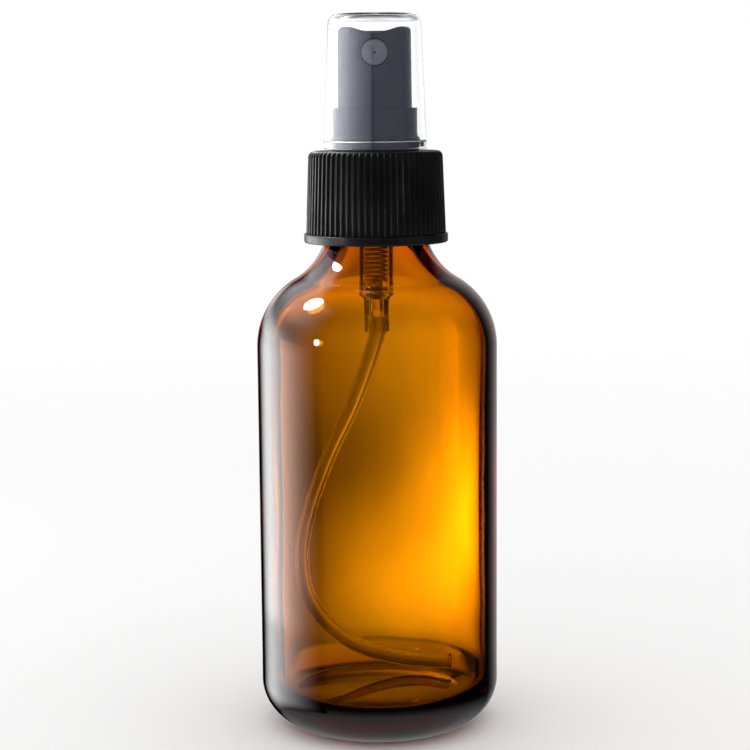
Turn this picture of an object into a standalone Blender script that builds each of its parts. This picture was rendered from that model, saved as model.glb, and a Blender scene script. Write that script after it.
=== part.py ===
"""Spray bottle: an amber glass Boston round with a screw-on fine-mist pump.

Metres, +Z up. The origin is the centre of the base, on the surface that the bottle stands on.
The spray leaves towards -Y. Every round piece turns about the Z axis.
"""

from math import atan2, cos, degrees, pi, radians, sin, sqrt

import bmesh
import bpy
from mathutils import Vector

MM = 0.001
GAP = 0.3 * MM  # air between pieces that touch

# Glass: the outer walls
BODY_RADIUS = 24.15 * MM
BASE_RING_OUTER = 14.95 * MM
BASE_RING_INNER = 12.6 * MM
BASE_PUSH_UP = 1.3 * MM
SHOULDER_Z = 77.2 * MM
SHOULDER_RADIUS = 16.0 * MM
FLARE_RADIUS = 12.7 * MM
NECK_RADIUS = 9.88 * MM
LIP_Z = 112.75 * MM
LIP_ROUNDING = 0.6 * MM

# Glass: the inner walls
INNER_RADIUS = 21.75 * MM
INNER_HEEL_RADIUS = 5.2 * MM
INNER_SHOULDER_RADIUS = 13.6 * MM
INNER_FLARE_RADIUS = 15.0 * MM
BORE_RADIUS = 6.2 * MM
FLOOR_Z = 6.0 * MM
FLOOR_CROWN = 0.7 * MM

# Neck finish: 22 mm nominal, 8 threads to the inch
THREAD_PITCH = 25.4 * MM / 8
THREAD_CREST_RADIUS = 10.85 * MM
THREAD_TOP_Z = 110.4 * MM
THREAD_TURNS = 1.1
THREAD_ROOT_WIDTH = 2.0 * MM
THREAD_CREST_WIDTH = 0.9 * MM
CAP_THREAD_CREST_RADIUS = 10.2 * MM
CAP_THREAD_ROOT_WIDTH = 1.3 * MM
CAP_THREAD_CREST_WIDTH = 0.6 * MM

# Closure
CLOSURE_BOTTOM_Z = 98.2 * MM
CLOSURE_TOP_Z = 116.3 * MM
CLOSURE_PLATE = 1.1 * MM
CLOSURE_HOLE_RADIUS = 5.5 * MM
FLANGE_RADIUS = 14.37 * MM
FLANGE_HEIGHT = 1.8 * MM
RIB_COUNT = 68
RIB_HEIGHT = 0.36 * MM
RIB_FOOT_RADIUS = 13.95 * MM
RIB_TOP_RADIUS = 13.38 * MM
CLOSURE_ROUNDING = 1.2 * MM
SLEEVE_INNER_RADIUS = 11.2 * MM
SLEEVE_OUTER_RADIUS = 12.0 * MM
SLEEVE_BOTTOM_Z = 101.4 * MM
SKIRT_INNER_RADIUS = 12.55 * MM

# Pump barrel, stacked under the closure's plate
BARREL_RADIUS = 3.4 * MM
BARREL_BORE = 2.8 * MM
BARREL_FOOT_Z = 88.3 * MM
SOCKET_RADIUS = 2.5 * MM
SOCKET_BORE = 1.85 * MM
SOCKET_BOTTOM_Z = 80.3 * MM
HOUSING_FLANGE_RADIUS = 9.4 * MM
HOUSING_FLANGE_TOP_Z = 114.95 * MM
HOUSING_FLANGE_BOTTOM_Z = 114.05 * MM
TURRET_RADIUS = 5.2 * MM
TURRET_BORE = 4.2 * MM
TURRET_TOP_Z = 119.3 * MM
SEAL_SEAT_Z = 113.1 * MM
GASKET_BOTTOM_Z = 113.0 * MM
GASKET_TOP_Z = 113.8 * MM
GASKET_INNER_RADIUS = 6.6 * MM
VENT_RADIUS = 0.4 * MM
VENT_Z = 111.6 * MM
BARREL_TAPER = 1.0 * MM
TURRET_FOOT_Z = HOUSING_FLANGE_BOTTOM_Z - 1.2 * MM
TURRET_TAPER = 0.8 * MM
BALL_CUP_RADIUS = 1.75 * MM
INLET_FOOT_RISE = 1.5 * MM
SEAL_HEIGHT = 1.2 * MM
SEAL_LIFT = 0.25 * MM
SEAL_CLEARANCE = 0.2 * MM

# Valve parts inside the barrel
STEM_RADIUS = 1.6 * MM
STEM_BORE = 0.75 * MM
STEM_TOP_Z = 134.0 * MM
STEM_BOTTOM_Z = 105.0 * MM
STEM_SHOULDER_Z = 110.4 * MM
STEM_SHOULDER_RADIUS = 2.15 * MM
STEM_PORT_RADIUS = 0.35 * MM
STEM_PORT_Z = 106.6 * MM
STEM_SHOULDER_HEIGHT = 1.2 * MM
STEM_SHOULDER_TAPER = 0.5 * MM
PISTON_BOTTOM_Z = 105.0 * MM
PISTON_TOP_Z = 109.4 * MM
PISTON_LIP_RADIUS = 2.62 * MM
PISTON_LIP_DEPTH = 0.3 * MM
PISTON_WAIST_INSET = 1.2 * MM
SLIDE_CLEARANCE = 0.2 * MM
PLUG_SEAT_Z = 104.7 * MM
PLUG_PIN_HEIGHT = 1.6 * MM
PLUG_SEAT_RADIUS = 1.7 * MM
PLUG_CONE_HEIGHT = 0.6 * MM
PLUG_RIM_RADIUS = 2.3 * MM
PLUG_RIM_HEIGHT = 0.8 * MM
PLUG_SPIGOT_RADIUS = 1.5 * MM
PLUG_SPIGOT_HEIGHT = 1.2 * MM
SPRING_TOP_Z = 103.0 * MM
SPRING_BOTTOM_Z = 89.1 * MM
SPRING_RADIUS = 2.05 * MM
SPRING_WIRE_RADIUS = 0.25 * MM
SPRING_TURNS = 14.25
SPRING_SEAT_Z = SPRING_BOTTOM_Z - 0.25 * MM
COIL_AIR = 0.04 * MM
BALL_RADIUS = 1.2 * MM
BALL_SEAT_Z = 88.0 * MM
INLET_RADIUS = 0.9 * MM
BALL_LIFT = 0.15 * MM

# Collar on top of the closure
COLLAR_BOTTOM_Z = 116.6 * MM
COLLAR_FLOOR_Z = 117.7 * MM
COLLAR_STEP_BOTTOM_Z = 118.0 * MM
COLLAR_STEP_TOP_Z = 121.1 * MM
COLLAR_TOP_Z = 124.7 * MM
COLLAR_RADIUS = 8.35 * MM
COLLAR_STEP_RADIUS = 8.75 * MM
COLLAR_FOOT_RADIUS = 8.1 * MM
COLLAR_BORE = 7.65 * MM
COLLAR_HUB_RADIUS = 6.1 * MM
COLLAR_HUB_TOP_Z = 120.6 * MM
COLLAR_PLUG_Z = SEAL_SEAT_Z + 1.75 * MM
COLLAR_BEAD = 0.1 * MM
COLLAR_BEAD_DEPTH = 0.7 * MM
COLLAR_BEAD_FOOT = 1.2 * MM

# Actuator
ACTUATOR_BOTTOM_Z = 122.0 * MM
ACTUATOR_TOP_Z = 140.4 * MM
ACTUATOR_FOOT_RADIUS = 7.35 * MM
ACTUATOR_TOP_RADIUS = 7.2 * MM
ACTUATOR_BORE = 6.4 * MM
ACTUATOR_ROOF_Z = 137.2 * MM
ACTUATOR_ROUNDING = 0.9 * MM
DISH_RADIUS = 15.0 * MM
DISH_DEPTH = 0.9 * MM
BOSS_RADIUS = 3.0 * MM
BOSS_BOTTOM_Z = 127.0 * MM
NOZZLE_Z = 135.4 * MM
NOZZLE_RADIUS = 2.5 * MM
NOZZLE_FACE_Y = -6.75 * MM
NOZZLE_BACK_Y = -4.3 * MM
NOZZLE_BOSS_RADIUS = 3.5 * MM
NOZZLE_POST_RADIUS = 1.1 * MM
NOZZLE_WALL = 0.55 * MM
ORIFICE_RADIUS = 0.2 * MM
CHANNEL_RADIUS = 0.5 * MM
ORIFICE_CONE_DEPTH = 0.25 * MM
POST_CLEARANCE = 0.5 * MM

# Overcap
CAP_BOTTOM_Z = 116.7 * MM
CAP_TOP_Z = 143.0 * MM
CAP_FOOT_RADIUS = 10.2 * MM
CAP_TOP_RADIUS = 9.25 * MM
CAP_ROUNDING = 1.9 * MM
CAP_WALL = 0.75 * MM
CAP_RIM_TOP_Z = 118.3 * MM
CAP_RIM_BORE = 9.05 * MM
CAP_CROWN_DIP = 0.1 * MM

# Dip tube
TUBE_RADIUS = 1.6 * MM
TUBE_BORE = 1.0 * MM
TUBE_TOP_Z = 83.3 * MM
TUBE_STATIONS = 30
# The route's own points in millimetres, from the socket down, round to the left and back to the right.
TUBE_ROUTE = (
    (0.0, 0.0, 83.3),
    (0.0, 0.0, 79.5),
    (-4.6, 0.8, 66.5),
    (-9.8, 2.0, 55.0),
    (-13.9, 3.2, 44.5),
    (-16.2, 4.6, 35.0),
    (-15.6, 6.2, 26.0),
    (-11.6, 8.2, 18.4),
    (-5.4, 10.2, 12.9),
    (2.0, 11.8, 9.8),
    (9.2, 12.2, 8.6),
    (15.4, 10.2, 8.9),
)


def clear_scene():
    for thing in list(bpy.data.objects):
        bpy.data.objects.remove(thing, do_unlink=True)


def material(name, colour, roughness, metallic=0.0, alpha=1.0):
    """A Principled material, made once for each name."""
    if name in bpy.data.materials:
        return bpy.data.materials[name]
    made = bpy.data.materials.new(name)
    made.use_nodes = True
    shader = made.node_tree.nodes["Principled BSDF"]
    shader.inputs["Base Color"].default_value = (*colour, 1.0)
    shader.inputs["Roughness"].default_value = roughness
    shader.inputs["Metallic"].default_value = metallic
    shader.inputs["Alpha"].default_value = alpha
    return made


def amber_glass():
    return material("amber_glass", (0.60, 0.22, 0.02), 0.05, alpha=0.6)


def black_plastic():
    return material("black_plastic", (0.02, 0.02, 0.022), 0.45)


def clear_plastic():
    return material("clear_plastic", (0.9, 0.9, 0.9), 0.08, alpha=0.25)


def natural_plastic():
    return material("natural_plastic", (0.82, 0.8, 0.74), 0.35, alpha=0.7)


def steel():
    return material("steel", (0.6, 0.6, 0.6), 0.25, metallic=1.0)


def soft_plastic():
    return material("soft_plastic", (0.85, 0.85, 0.83), 0.6)


def place(name, bm, surface, base_z=0.0):
    """Turns a bmesh in world coordinates into an object whose origin is on the Z axis at base_z."""
    bmesh.ops.recalc_face_normals(bm, faces=bm.faces)
    bmesh.ops.translate(bm, verts=bm.verts, vec=(0.0, 0.0, -base_z))
    mesh = bpy.data.meshes.new(name)
    bm.to_mesh(mesh)
    bm.free()
    mesh.shade_smooth()
    mesh.set_sharp_from_angle(angle=radians(35))
    thing = bpy.data.objects.new(name, mesh)
    thing.location = (0.0, 0.0, base_z)
    thing.data.materials.append(surface)
    bpy.context.scene.collection.objects.link(thing)
    return thing


def arc(centre, radius, start, end, steps):
    """Points (r, z) on a round stretch of an outline, from start to end in degrees."""
    turn = [radians(start + (end - start) * i / steps) for i in range(steps + 1)]
    return [(centre[0] + radius * cos(a), centre[1] + radius * sin(a)) for a in turn]


def turned(outline, segments):
    """Spins an outline of (r, z) points about Z. It is closed on itself or by the axis."""
    bm = bmesh.new()
    corners = [bm.verts.new((r, 0.0, z)) for r, z in outline]
    edges = [bm.edges.new(pair) for pair in zip(corners, corners[1:])]
    if outline[0][0] > 0.0 or outline[-1][0] > 0.0:
        edges.append(bm.edges.new((corners[-1], corners[0])))
    bmesh.ops.spin(
        bm,
        geom=corners + edges,
        cent=(0.0, 0.0, 0.0),
        axis=(0.0, 0.0, 1.0),
        angle=2 * pi,
        steps=segments,
        use_merge=True,
    )
    bmesh.ops.remove_doubles(bm, verts=bm.verts, dist=0.001 * MM)
    return bm


def ring(inner, outer, bottom, top):
    """A plain ring's outline."""
    return [(inner, bottom), (outer, bottom), (outer, top), (inner, top)]


def lofted(rings, hoop=False):
    """Joins rings of equal length one after another, with capped ends, or round in a hoop."""
    bm = bmesh.new()
    loops = [[bm.verts.new(point) for point in points] for points in rings]
    count = len(loops[0])
    pairs = list(zip(loops, loops[1:]))
    if hoop:
        pairs.append((loops[-1], loops[0]))
    for low, high in pairs:
        for i in range(count):
            j = (i + 1) % count
            bm.faces.new((low[i], low[j], high[j], high[i]))
    if not hoop:
        bm.faces.new(loops[0])
        bm.faces.new(loops[-1])
    return bm


def use_tool(piece, operation, name, bm, base_z=0.0):
    """Adds a Boolean with a helper solid, which stays hidden."""
    tool = place(name, bm, piece.data.materials[0], base_z)
    tool.hide_render = True
    tool.display_type = "WIRE"
    change = piece.modifiers.new(name, "BOOLEAN")
    change.operation = operation
    change.solver = "EXACT"
    change.object = tool


def cylinder_along_y(radius, near_y, far_y, z, segments=16):
    """A round bar that runs front to back."""
    bar = []
    for y in (near_y, far_y):
        turn = [2 * pi * (i + 0.5) / segments for i in range(segments)]
        bar.append([Vector((radius * cos(a), y, z + radius * sin(a))) for a in turn])
    return lofted(bar)


def thread_ridge(root_radius, crest_radius, root_width, crest_width, first_z):
    """A right-hand helical ridge that starts at first_z, climbs a pitch a turn and fades at both ends."""
    steps = int(32 * THREAD_TURNS)
    fade = 3
    sections = []
    for i in range(steps + 1):
        angle = 2 * pi * THREAD_TURNS * i / steps
        level = first_z + THREAD_PITCH * angle / (2 * pi)
        rise = max(0.1, min(1.0, i / fade, (steps - i) / fade))
        crest = root_radius + (crest_radius - root_radius) * rise
        corners = (
            (root_radius, -root_width / 2),
            (crest, -crest_width / 2),
            (crest, crest_width / 2),
            (root_radius, root_width / 2),
        )
        sections.append([Vector((r * cos(angle), r * sin(angle), level + z)) for r, z in corners])
    return lofted(sections)


def shoulder_and_neck(wall, shoulder, flare, neck, steps):
    """The S curve from the straight wall up to the neck, as two tangent arcs."""
    low = (wall - shoulder, SHOULDER_Z)
    across = neck + flare - low[0]
    rise = sqrt((shoulder + flare) ** 2 - across**2)
    high = (neck + flare, SHOULDER_Z + rise)
    meet = degrees(atan2(rise, across))
    curve = arc(low, shoulder, 0, meet, steps)
    curve += arc(high, flare, meet + 180, 180, steps - 2)[1:]
    return curve


def build_bottle():
    heel = BODY_RADIUS - BASE_RING_OUTER
    outline = [
        (0.0, BASE_PUSH_UP),
        (0.55 * BASE_RING_INNER, 0.85 * BASE_PUSH_UP),
        (0.92 * BASE_RING_INNER, 0.35 * BASE_PUSH_UP),
        (BASE_RING_INNER, 0.0),
    ]
    outline += arc((BASE_RING_OUTER, heel), heel, -90, 0, 5)
    outline += shoulder_and_neck(BODY_RADIUS, SHOULDER_RADIUS, FLARE_RADIUS, NECK_RADIUS, 8)
    lip = (NECK_RADIUS - LIP_ROUNDING, LIP_Z - LIP_ROUNDING)
    outline += arc(lip, LIP_ROUNDING, 0, 90, 2)
    lip = (BORE_RADIUS + LIP_ROUNDING, LIP_Z - LIP_ROUNDING)
    outline += arc(lip, LIP_ROUNDING, 90, 180, 2)
    inside = shoulder_and_neck(INNER_RADIUS, INNER_SHOULDER_RADIUS, INNER_FLARE_RADIUS, BORE_RADIUS, 6)
    outline += inside[::-1]
    heel = (INNER_RADIUS - INNER_HEEL_RADIUS, FLOOR_Z + INNER_HEEL_RADIUS)
    outline += arc(heel, INNER_HEEL_RADIUS, 0, -90, 4)
    outline += [(0.5 * heel[0], FLOOR_Z + 0.6 * FLOOR_CROWN), (0.0, FLOOR_Z + FLOOR_CROWN)]
    bottle = place("bottle", turned(outline, 36), amber_glass())
    ridge = thread_ridge(
        NECK_RADIUS - GAP,
        THREAD_CREST_RADIUS,
        THREAD_ROOT_WIDTH,
        THREAD_CREST_WIDTH,
        THREAD_TOP_Z - THREAD_TURNS * THREAD_PITCH,
    )
    use_tool(bottle, "UNION", "bottle_thread", ridge)


def ribbed_ring(radius, height, z):
    """One ring of the ribbed wall: two points on each rib's crest and two in each groove."""
    shape = ((0.10, 0.0), (0.32, 1.0), (0.68, 1.0), (0.90, 0.0))
    points = []
    for rib in range(RIB_COUNT):
        for share, lift in shape:
            angle = 2 * pi * (rib + share) / RIB_COUNT
            r = radius - height * (1.0 - lift)
            points.append(Vector((r * cos(angle), r * sin(angle), z)))
    return points


def build_closure():
    flange_top = CLOSURE_BOTTOM_Z + FLANGE_HEIGHT
    shoulder_z = CLOSURE_TOP_Z - CLOSURE_ROUNDING
    walls = [
        ribbed_ring(RIB_FOOT_RADIUS, RIB_HEIGHT, flange_top - GAP),
        ribbed_ring(RIB_TOP_RADIUS, RIB_HEIGHT, shoulder_z),
        ribbed_ring(RIB_TOP_RADIUS - CLOSURE_ROUNDING, 0.1 * RIB_HEIGHT, CLOSURE_TOP_Z),
    ]
    closure = place("closure", lofted(walls), black_plastic(), CLOSURE_BOTTOM_Z)
    flange = [
        (0.0, CLOSURE_BOTTOM_Z),
        (FLANGE_RADIUS - GAP, CLOSURE_BOTTOM_Z),
        (FLANGE_RADIUS, CLOSURE_BOTTOM_Z + GAP),
        (FLANGE_RADIUS, flange_top - GAP),
        (FLANGE_RADIUS - GAP, flange_top),
        (0.0, flange_top),
    ]
    use_tool(closure, "UNION", "closure_flange", turned(flange, 40))
    roof = CLOSURE_TOP_Z - CLOSURE_PLATE
    hollow = [
        (0.0, CLOSURE_BOTTOM_Z - MM),
        (SKIRT_INNER_RADIUS, CLOSURE_BOTTOM_Z - MM),
        (SKIRT_INNER_RADIUS, roof - MM),
        (SLEEVE_OUTER_RADIUS, roof - MM),
        (SLEEVE_OUTER_RADIUS, SLEEVE_BOTTOM_Z),
        (SLEEVE_INNER_RADIUS, SLEEVE_BOTTOM_Z),
        (SLEEVE_INNER_RADIUS, roof),
        (CLOSURE_HOLE_RADIUS, roof),
        (CLOSURE_HOLE_RADIUS, CLOSURE_TOP_Z + MM),
        (0.0, CLOSURE_TOP_Z + MM),
    ]
    use_tool(closure, "DIFFERENCE", "closure_hollow", turned(hollow, 32))
    ridge = thread_ridge(
        SLEEVE_INNER_RADIUS + GAP,
        CAP_THREAD_CREST_RADIUS,
        CAP_THREAD_ROOT_WIDTH,
        CAP_THREAD_CREST_WIDTH,
        THREAD_TOP_Z - (THREAD_TURNS + 0.5) * THREAD_PITCH,
    )
    use_tool(closure, "UNION", "closure_thread", ridge)


def build_gasket():
    outline = ring(GASKET_INNER_RADIUS, HOUSING_FLANGE_RADIUS, GASKET_BOTTOM_Z, GASKET_TOP_Z)
    place("neck_gasket", turned(outline, 32), soft_plastic(), GASKET_BOTTOM_Z)


def build_housing():
    """Turret and flange above, barrel in the neck, tube socket below, with the inlet seat between."""
    outline = [
        (SOCKET_BORE, SOCKET_BOTTOM_Z),
        (SOCKET_RADIUS, SOCKET_BOTTOM_Z),
        (SOCKET_RADIUS, BARREL_FOOT_Z - BARREL_TAPER),
        (BARREL_RADIUS, BARREL_FOOT_Z),
        (BARREL_RADIUS, TURRET_FOOT_Z - TURRET_TAPER),
        (TURRET_RADIUS, TURRET_FOOT_Z),
        (TURRET_RADIUS, HOUSING_FLANGE_BOTTOM_Z),
        (HOUSING_FLANGE_RADIUS, HOUSING_FLANGE_BOTTOM_Z),
        (HOUSING_FLANGE_RADIUS, HOUSING_FLANGE_TOP_Z),
        (TURRET_RADIUS, HOUSING_FLANGE_TOP_Z),
        (TURRET_RADIUS, TURRET_TOP_Z),
        (TURRET_BORE, TURRET_TOP_Z),
        (TURRET_BORE, SEAL_SEAT_Z),
        (BARREL_BORE, SEAL_SEAT_Z),
        (BARREL_BORE, SPRING_SEAT_Z),
        (BALL_CUP_RADIUS, SPRING_SEAT_Z),
        (INLET_RADIUS, BALL_SEAT_Z),
        (INLET_RADIUS, TUBE_TOP_Z + INLET_FOOT_RISE),
        (TUBE_BORE, TUBE_TOP_Z + GAP),
        (SOCKET_BORE, TUBE_TOP_Z + GAP),
    ]
    housing = place("pump_housing", turned(outline, 24), natural_plastic(), SOCKET_BOTTOM_Z)
    vent = cylinder_along_y(VENT_RADIUS, -2 * BARREL_RADIUS, 0.0, VENT_Z, 8)
    use_tool(housing, "DIFFERENCE", "vent_hole", vent)


def build_stem_seal():
    bottom = SEAL_SEAT_Z + SEAL_LIFT
    lip = STEM_RADIUS + 0.15 * MM
    back = STEM_RADIUS + 0.8 * MM
    seal = [
        (lip, bottom),
        (TURRET_BORE - SEAL_CLEARANCE, bottom),
        (TURRET_BORE - SEAL_CLEARANCE, bottom + SEAL_HEIGHT),
        (back, bottom + SEAL_HEIGHT),
    ]
    place("stem_seal", turned(seal, 24), soft_plastic(), SEAL_SEAT_Z)


def build_stem():
    """Hollow push rod: the plug closes its foot, so the liquid enters by the two side ports."""
    outline = [
        (STEM_BORE, STEM_BOTTOM_Z),
        (STEM_RADIUS, STEM_BOTTOM_Z),
        (STEM_RADIUS, STEM_SHOULDER_Z - STEM_SHOULDER_TAPER),
        (STEM_SHOULDER_RADIUS, STEM_SHOULDER_Z),
        (STEM_SHOULDER_RADIUS, STEM_SHOULDER_Z + STEM_SHOULDER_HEIGHT),
        (STEM_RADIUS, STEM_SHOULDER_Z + STEM_SHOULDER_HEIGHT + STEM_SHOULDER_TAPER),
        (STEM_RADIUS, STEM_TOP_Z),
        (STEM_BORE, STEM_TOP_Z),
    ]
    stem = place("stem", turned(outline, 20), natural_plastic(), STEM_BOTTOM_Z)
    ports = cylinder_along_y(STEM_PORT_RADIUS, -2 * STEM_RADIUS, 2 * STEM_RADIUS, STEM_PORT_Z, 8)
    use_tool(stem, "DIFFERENCE", "stem_ports", ports)


def build_piston():
    """A sleeve with a wiping lip at each end and a seat lip that rests over the plug's cone."""
    waist = PISTON_LIP_RADIUS - PISTON_LIP_DEPTH
    bore = STEM_RADIUS + SLIDE_CLEARANCE
    outline = [
        (bore, PISTON_BOTTOM_Z),
        (PISTON_LIP_RADIUS, PISTON_BOTTOM_Z),
        (PISTON_LIP_RADIUS, PISTON_BOTTOM_Z + PISTON_LIP_DEPTH),
        (waist, PISTON_BOTTOM_Z + PISTON_WAIST_INSET),
        (waist, PISTON_TOP_Z - PISTON_WAIST_INSET),
        (PISTON_LIP_RADIUS, PISTON_TOP_Z - PISTON_LIP_DEPTH),
        (PISTON_LIP_RADIUS, PISTON_TOP_Z),
        (bore, PISTON_TOP_Z),
    ]
    place("piston", turned(outline, 24), soft_plastic(), PISTON_BOTTOM_Z)


def build_stem_plug():
    """Pin, seat cone and spring spigot in one turned piece."""
    pin = STEM_BORE - SLIDE_CLEARANCE
    rim_top = PLUG_SEAT_Z - PLUG_CONE_HEIGHT
    rim_bottom = rim_top - PLUG_RIM_HEIGHT
    foot = rim_bottom - PLUG_SPIGOT_HEIGHT
    outline = [
        (0.0, foot),
        (PLUG_SPIGOT_RADIUS - 0.1 * MM, foot),
        (PLUG_SPIGOT_RADIUS, rim_bottom),
        (PLUG_RIM_RADIUS, rim_bottom),
        (PLUG_RIM_RADIUS, rim_top),
        (PLUG_SEAT_RADIUS, PLUG_SEAT_Z),
        (pin, PLUG_SEAT_Z),
        (pin, PLUG_SEAT_Z + PLUG_PIN_HEIGHT),
        (0.0, PLUG_SEAT_Z + PLUG_PIN_HEIGHT),
    ]
    place("stem_plug", turned(outline, 20), natural_plastic(), PLUG_SEAT_Z)


def build_spring():
    """A coil whose two end turns lie flat."""
    per_turn = 10
    sides = 5
    steps = int(SPRING_TURNS * per_turn)
    low = SPRING_BOTTOM_Z + SPRING_WIRE_RADIUS
    span = SPRING_TOP_Z - SPRING_BOTTOM_Z - 2 * SPRING_WIRE_RADIUS
    flat = 2 * SPRING_WIRE_RADIUS + COIL_AIR
    centres = []
    for i in range(steps + 1):
        turn = i / per_turn
        even = (turn - 1.0) / (SPRING_TURNS - 2.0)
        z = flat + even * (span - 2 * flat)
        if turn < 1.0:
            z = flat * turn
        if turn > SPRING_TURNS - 1.0:
            z = span - flat * (SPRING_TURNS - turn)
        angle = 2 * pi * turn
        centres.append(Vector((SPRING_RADIUS * cos(angle), SPRING_RADIUS * sin(angle), low + z)))
    place("return_spring", tube_mesh(centres, (SPRING_WIRE_RADIUS,), sides), steel(), SPRING_BOTTOM_Z)


def build_ball():
    """The ball sits on the edge of the inlet."""
    centre = BALL_SEAT_Z + sqrt(BALL_RADIUS**2 - INLET_RADIUS**2) + BALL_LIFT
    bm = bmesh.new()
    bmesh.ops.create_icosphere(bm, subdivisions=2, radius=BALL_RADIUS)
    bmesh.ops.translate(bm, verts=bm.verts, vec=(0.0, 0.0, centre))
    place("inlet_ball", bm, steel(), centre)


def tube_mesh(centres, radii, sides):
    """Sweeps a round wire along centres, or a hollow tube when a bore radius follows the outer one."""
    last = len(centres) - 1
    side = Vector((0.0, 0.0, 1.0))
    walls = [[] for _ in radii]
    for i, centre in enumerate(centres):
        ahead = (centres[min(i + 1, last)] - centres[max(i - 1, 0)]).normalized()
        if i == 0 and abs(ahead.z) > 0.9:
            side = Vector((1.0, 0.0, 0.0))
        side = (side - ahead * side.dot(ahead)).normalized()
        up = ahead.cross(side)
        for wall, radius in zip(walls, radii):
            turn = [2 * pi * k / sides for k in range(sides)]
            wall.append([centre + radius * (cos(a) * side + sin(a) * up) for a in turn])
    if len(radii) == 1:
        return lofted(walls[0])
    return lofted(walls[0] + walls[1][::-1], hoop=True)


def smooth_route(points, stations):
    """Evenly spaced points on one smooth curve through the route's own points."""
    dense = []
    padded = [2 * points[0] - points[1]] + points + [2 * points[-1] - points[-2]]
    for a, b, c, d in zip(padded, padded[1:], padded[2:], padded[3:]):
        for k in range(20):
            t = k / 20
            bend = (2 * a - 5 * b + 4 * c - d) * t**2 + (3 * b - a - 3 * c + d) * t**3
            dense.append(0.5 * (2 * b + (c - a) * t + bend))
    dense.append(points[-1])
    steps = [(q - p).length for p, q in zip(dense, dense[1:])]
    total = sum(steps)
    even = []
    travelled = 0.0
    i = 0
    for k in range(stations):
        want = total * k / (stations - 1)
        while i < len(steps) - 1 and travelled + steps[i] < want:
            travelled += steps[i]
            i += 1
        even.append(dense[i].lerp(dense[i + 1], min(1.0, (want - travelled) / steps[i])))
    return even


def build_dip_tube():
    route = [Vector(point) * MM for point in TUBE_ROUTE]
    centres = smooth_route(route, TUBE_STATIONS)
    bm = tube_mesh(centres, (TUBE_RADIUS, TUBE_BORE), 8)
    place("dip_tube", bm, clear_plastic(), TUBE_TOP_Z)


def build_collar():
    """Outer wall with the overcap's step, floor on the closure, and a hub that grips the turret."""
    guide = STEM_RADIUS + 0.4 * MM
    turret_clear = TURRET_RADIUS + GAP
    plug_radius = TURRET_BORE - GAP
    outline = [
        (turret_clear, COLLAR_BOTTOM_Z),
        (COLLAR_FOOT_RADIUS, COLLAR_BOTTOM_Z),
        (COLLAR_FOOT_RADIUS, COLLAR_STEP_BOTTOM_Z),
        (COLLAR_STEP_RADIUS, COLLAR_STEP_BOTTOM_Z),
        (COLLAR_STEP_RADIUS, COLLAR_STEP_TOP_Z - COLLAR_BEAD_FOOT),
        (COLLAR_STEP_RADIUS + COLLAR_BEAD, COLLAR_STEP_TOP_Z - COLLAR_BEAD_DEPTH),
        (COLLAR_RADIUS, COLLAR_STEP_TOP_Z),
        (COLLAR_RADIUS, COLLAR_TOP_Z),
        (COLLAR_BORE, COLLAR_TOP_Z),
        (COLLAR_BORE, COLLAR_FLOOR_Z),
        (COLLAR_HUB_RADIUS, COLLAR_FLOOR_Z),
        (COLLAR_HUB_RADIUS, COLLAR_HUB_TOP_Z),
        (guide, COLLAR_HUB_TOP_Z),
        (guide, COLLAR_PLUG_Z),
        (plug_radius, COLLAR_PLUG_Z),
        (plug_radius, TURRET_TOP_Z + GAP),
        (turret_clear, TURRET_TOP_Z + GAP),
    ]
    place("collar", turned(outline, 32), black_plastic(), COLLAR_BOTTOM_Z)


def build_actuator():
    top_edge = (ACTUATOR_TOP_RADIUS - ACTUATOR_ROUNDING, ACTUATOR_TOP_Z - ACTUATOR_ROUNDING)
    shell = [(0.0, ACTUATOR_ROOF_Z), (ACTUATOR_BORE, ACTUATOR_ROOF_Z), (ACTUATOR_BORE, ACTUATOR_BOTTOM_Z)]
    shell += [(ACTUATOR_FOOT_RADIUS, ACTUATOR_BOTTOM_Z)]
    shell += arc(top_edge, ACTUATOR_ROUNDING, 0, 90, 3)
    shell += [(0.0, ACTUATOR_TOP_Z)]
    actuator = place("actuator", turned(shell, 40), black_plastic(), ACTUATOR_BOTTOM_Z)
    boss = [
        (0.0, BOSS_BOTTOM_Z),
        (BOSS_RADIUS, BOSS_BOTTOM_Z),
        (BOSS_RADIUS, ACTUATOR_ROOF_Z + GAP),
        (0.0, ACTUATOR_ROOF_Z + GAP),
    ]
    use_tool(actuator, "UNION", "actuator_boss", turned(boss, 20))
    block = cylinder_along_y(NOZZLE_BOSS_RADIUS, -ACTUATOR_BORE - GAP, 0.0, NOZZLE_Z)
    use_tool(actuator, "UNION", "nozzle_block", block)
    dish_z = ACTUATOR_TOP_Z - DISH_DEPTH + DISH_RADIUS
    dish = cylinder_along_y(DISH_RADIUS, -2 * ACTUATOR_FOOT_RADIUS, 2 * ACTUATOR_FOOT_RADIUS, dish_z, 64)
    use_tool(actuator, "DIFFERENCE", "finger_dish", dish)
    use_tool(actuator, "DIFFERENCE", "nozzle_pocket", nozzle_pocket())
    channel_z = NOZZLE_Z - (NOZZLE_POST_RADIUS + NOZZLE_RADIUS) / 2
    channel = cylinder_along_y(CHANNEL_RADIUS, NOZZLE_BACK_Y, 0.0, channel_z, 8)
    use_tool(actuator, "DIFFERENCE", "spray_channel", channel)
    socket_radius = STEM_RADIUS + SLIDE_CLEARANCE
    socket = [
        (0.0, BOSS_BOTTOM_Z - MM),
        (socket_radius, BOSS_BOTTOM_Z - MM),
        (socket_radius, STEM_TOP_Z + GAP),
        (0.0, STEM_TOP_Z + GAP),
    ]
    use_tool(actuator, "DIFFERENCE", "stem_socket", turned(socket, 20))


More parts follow.
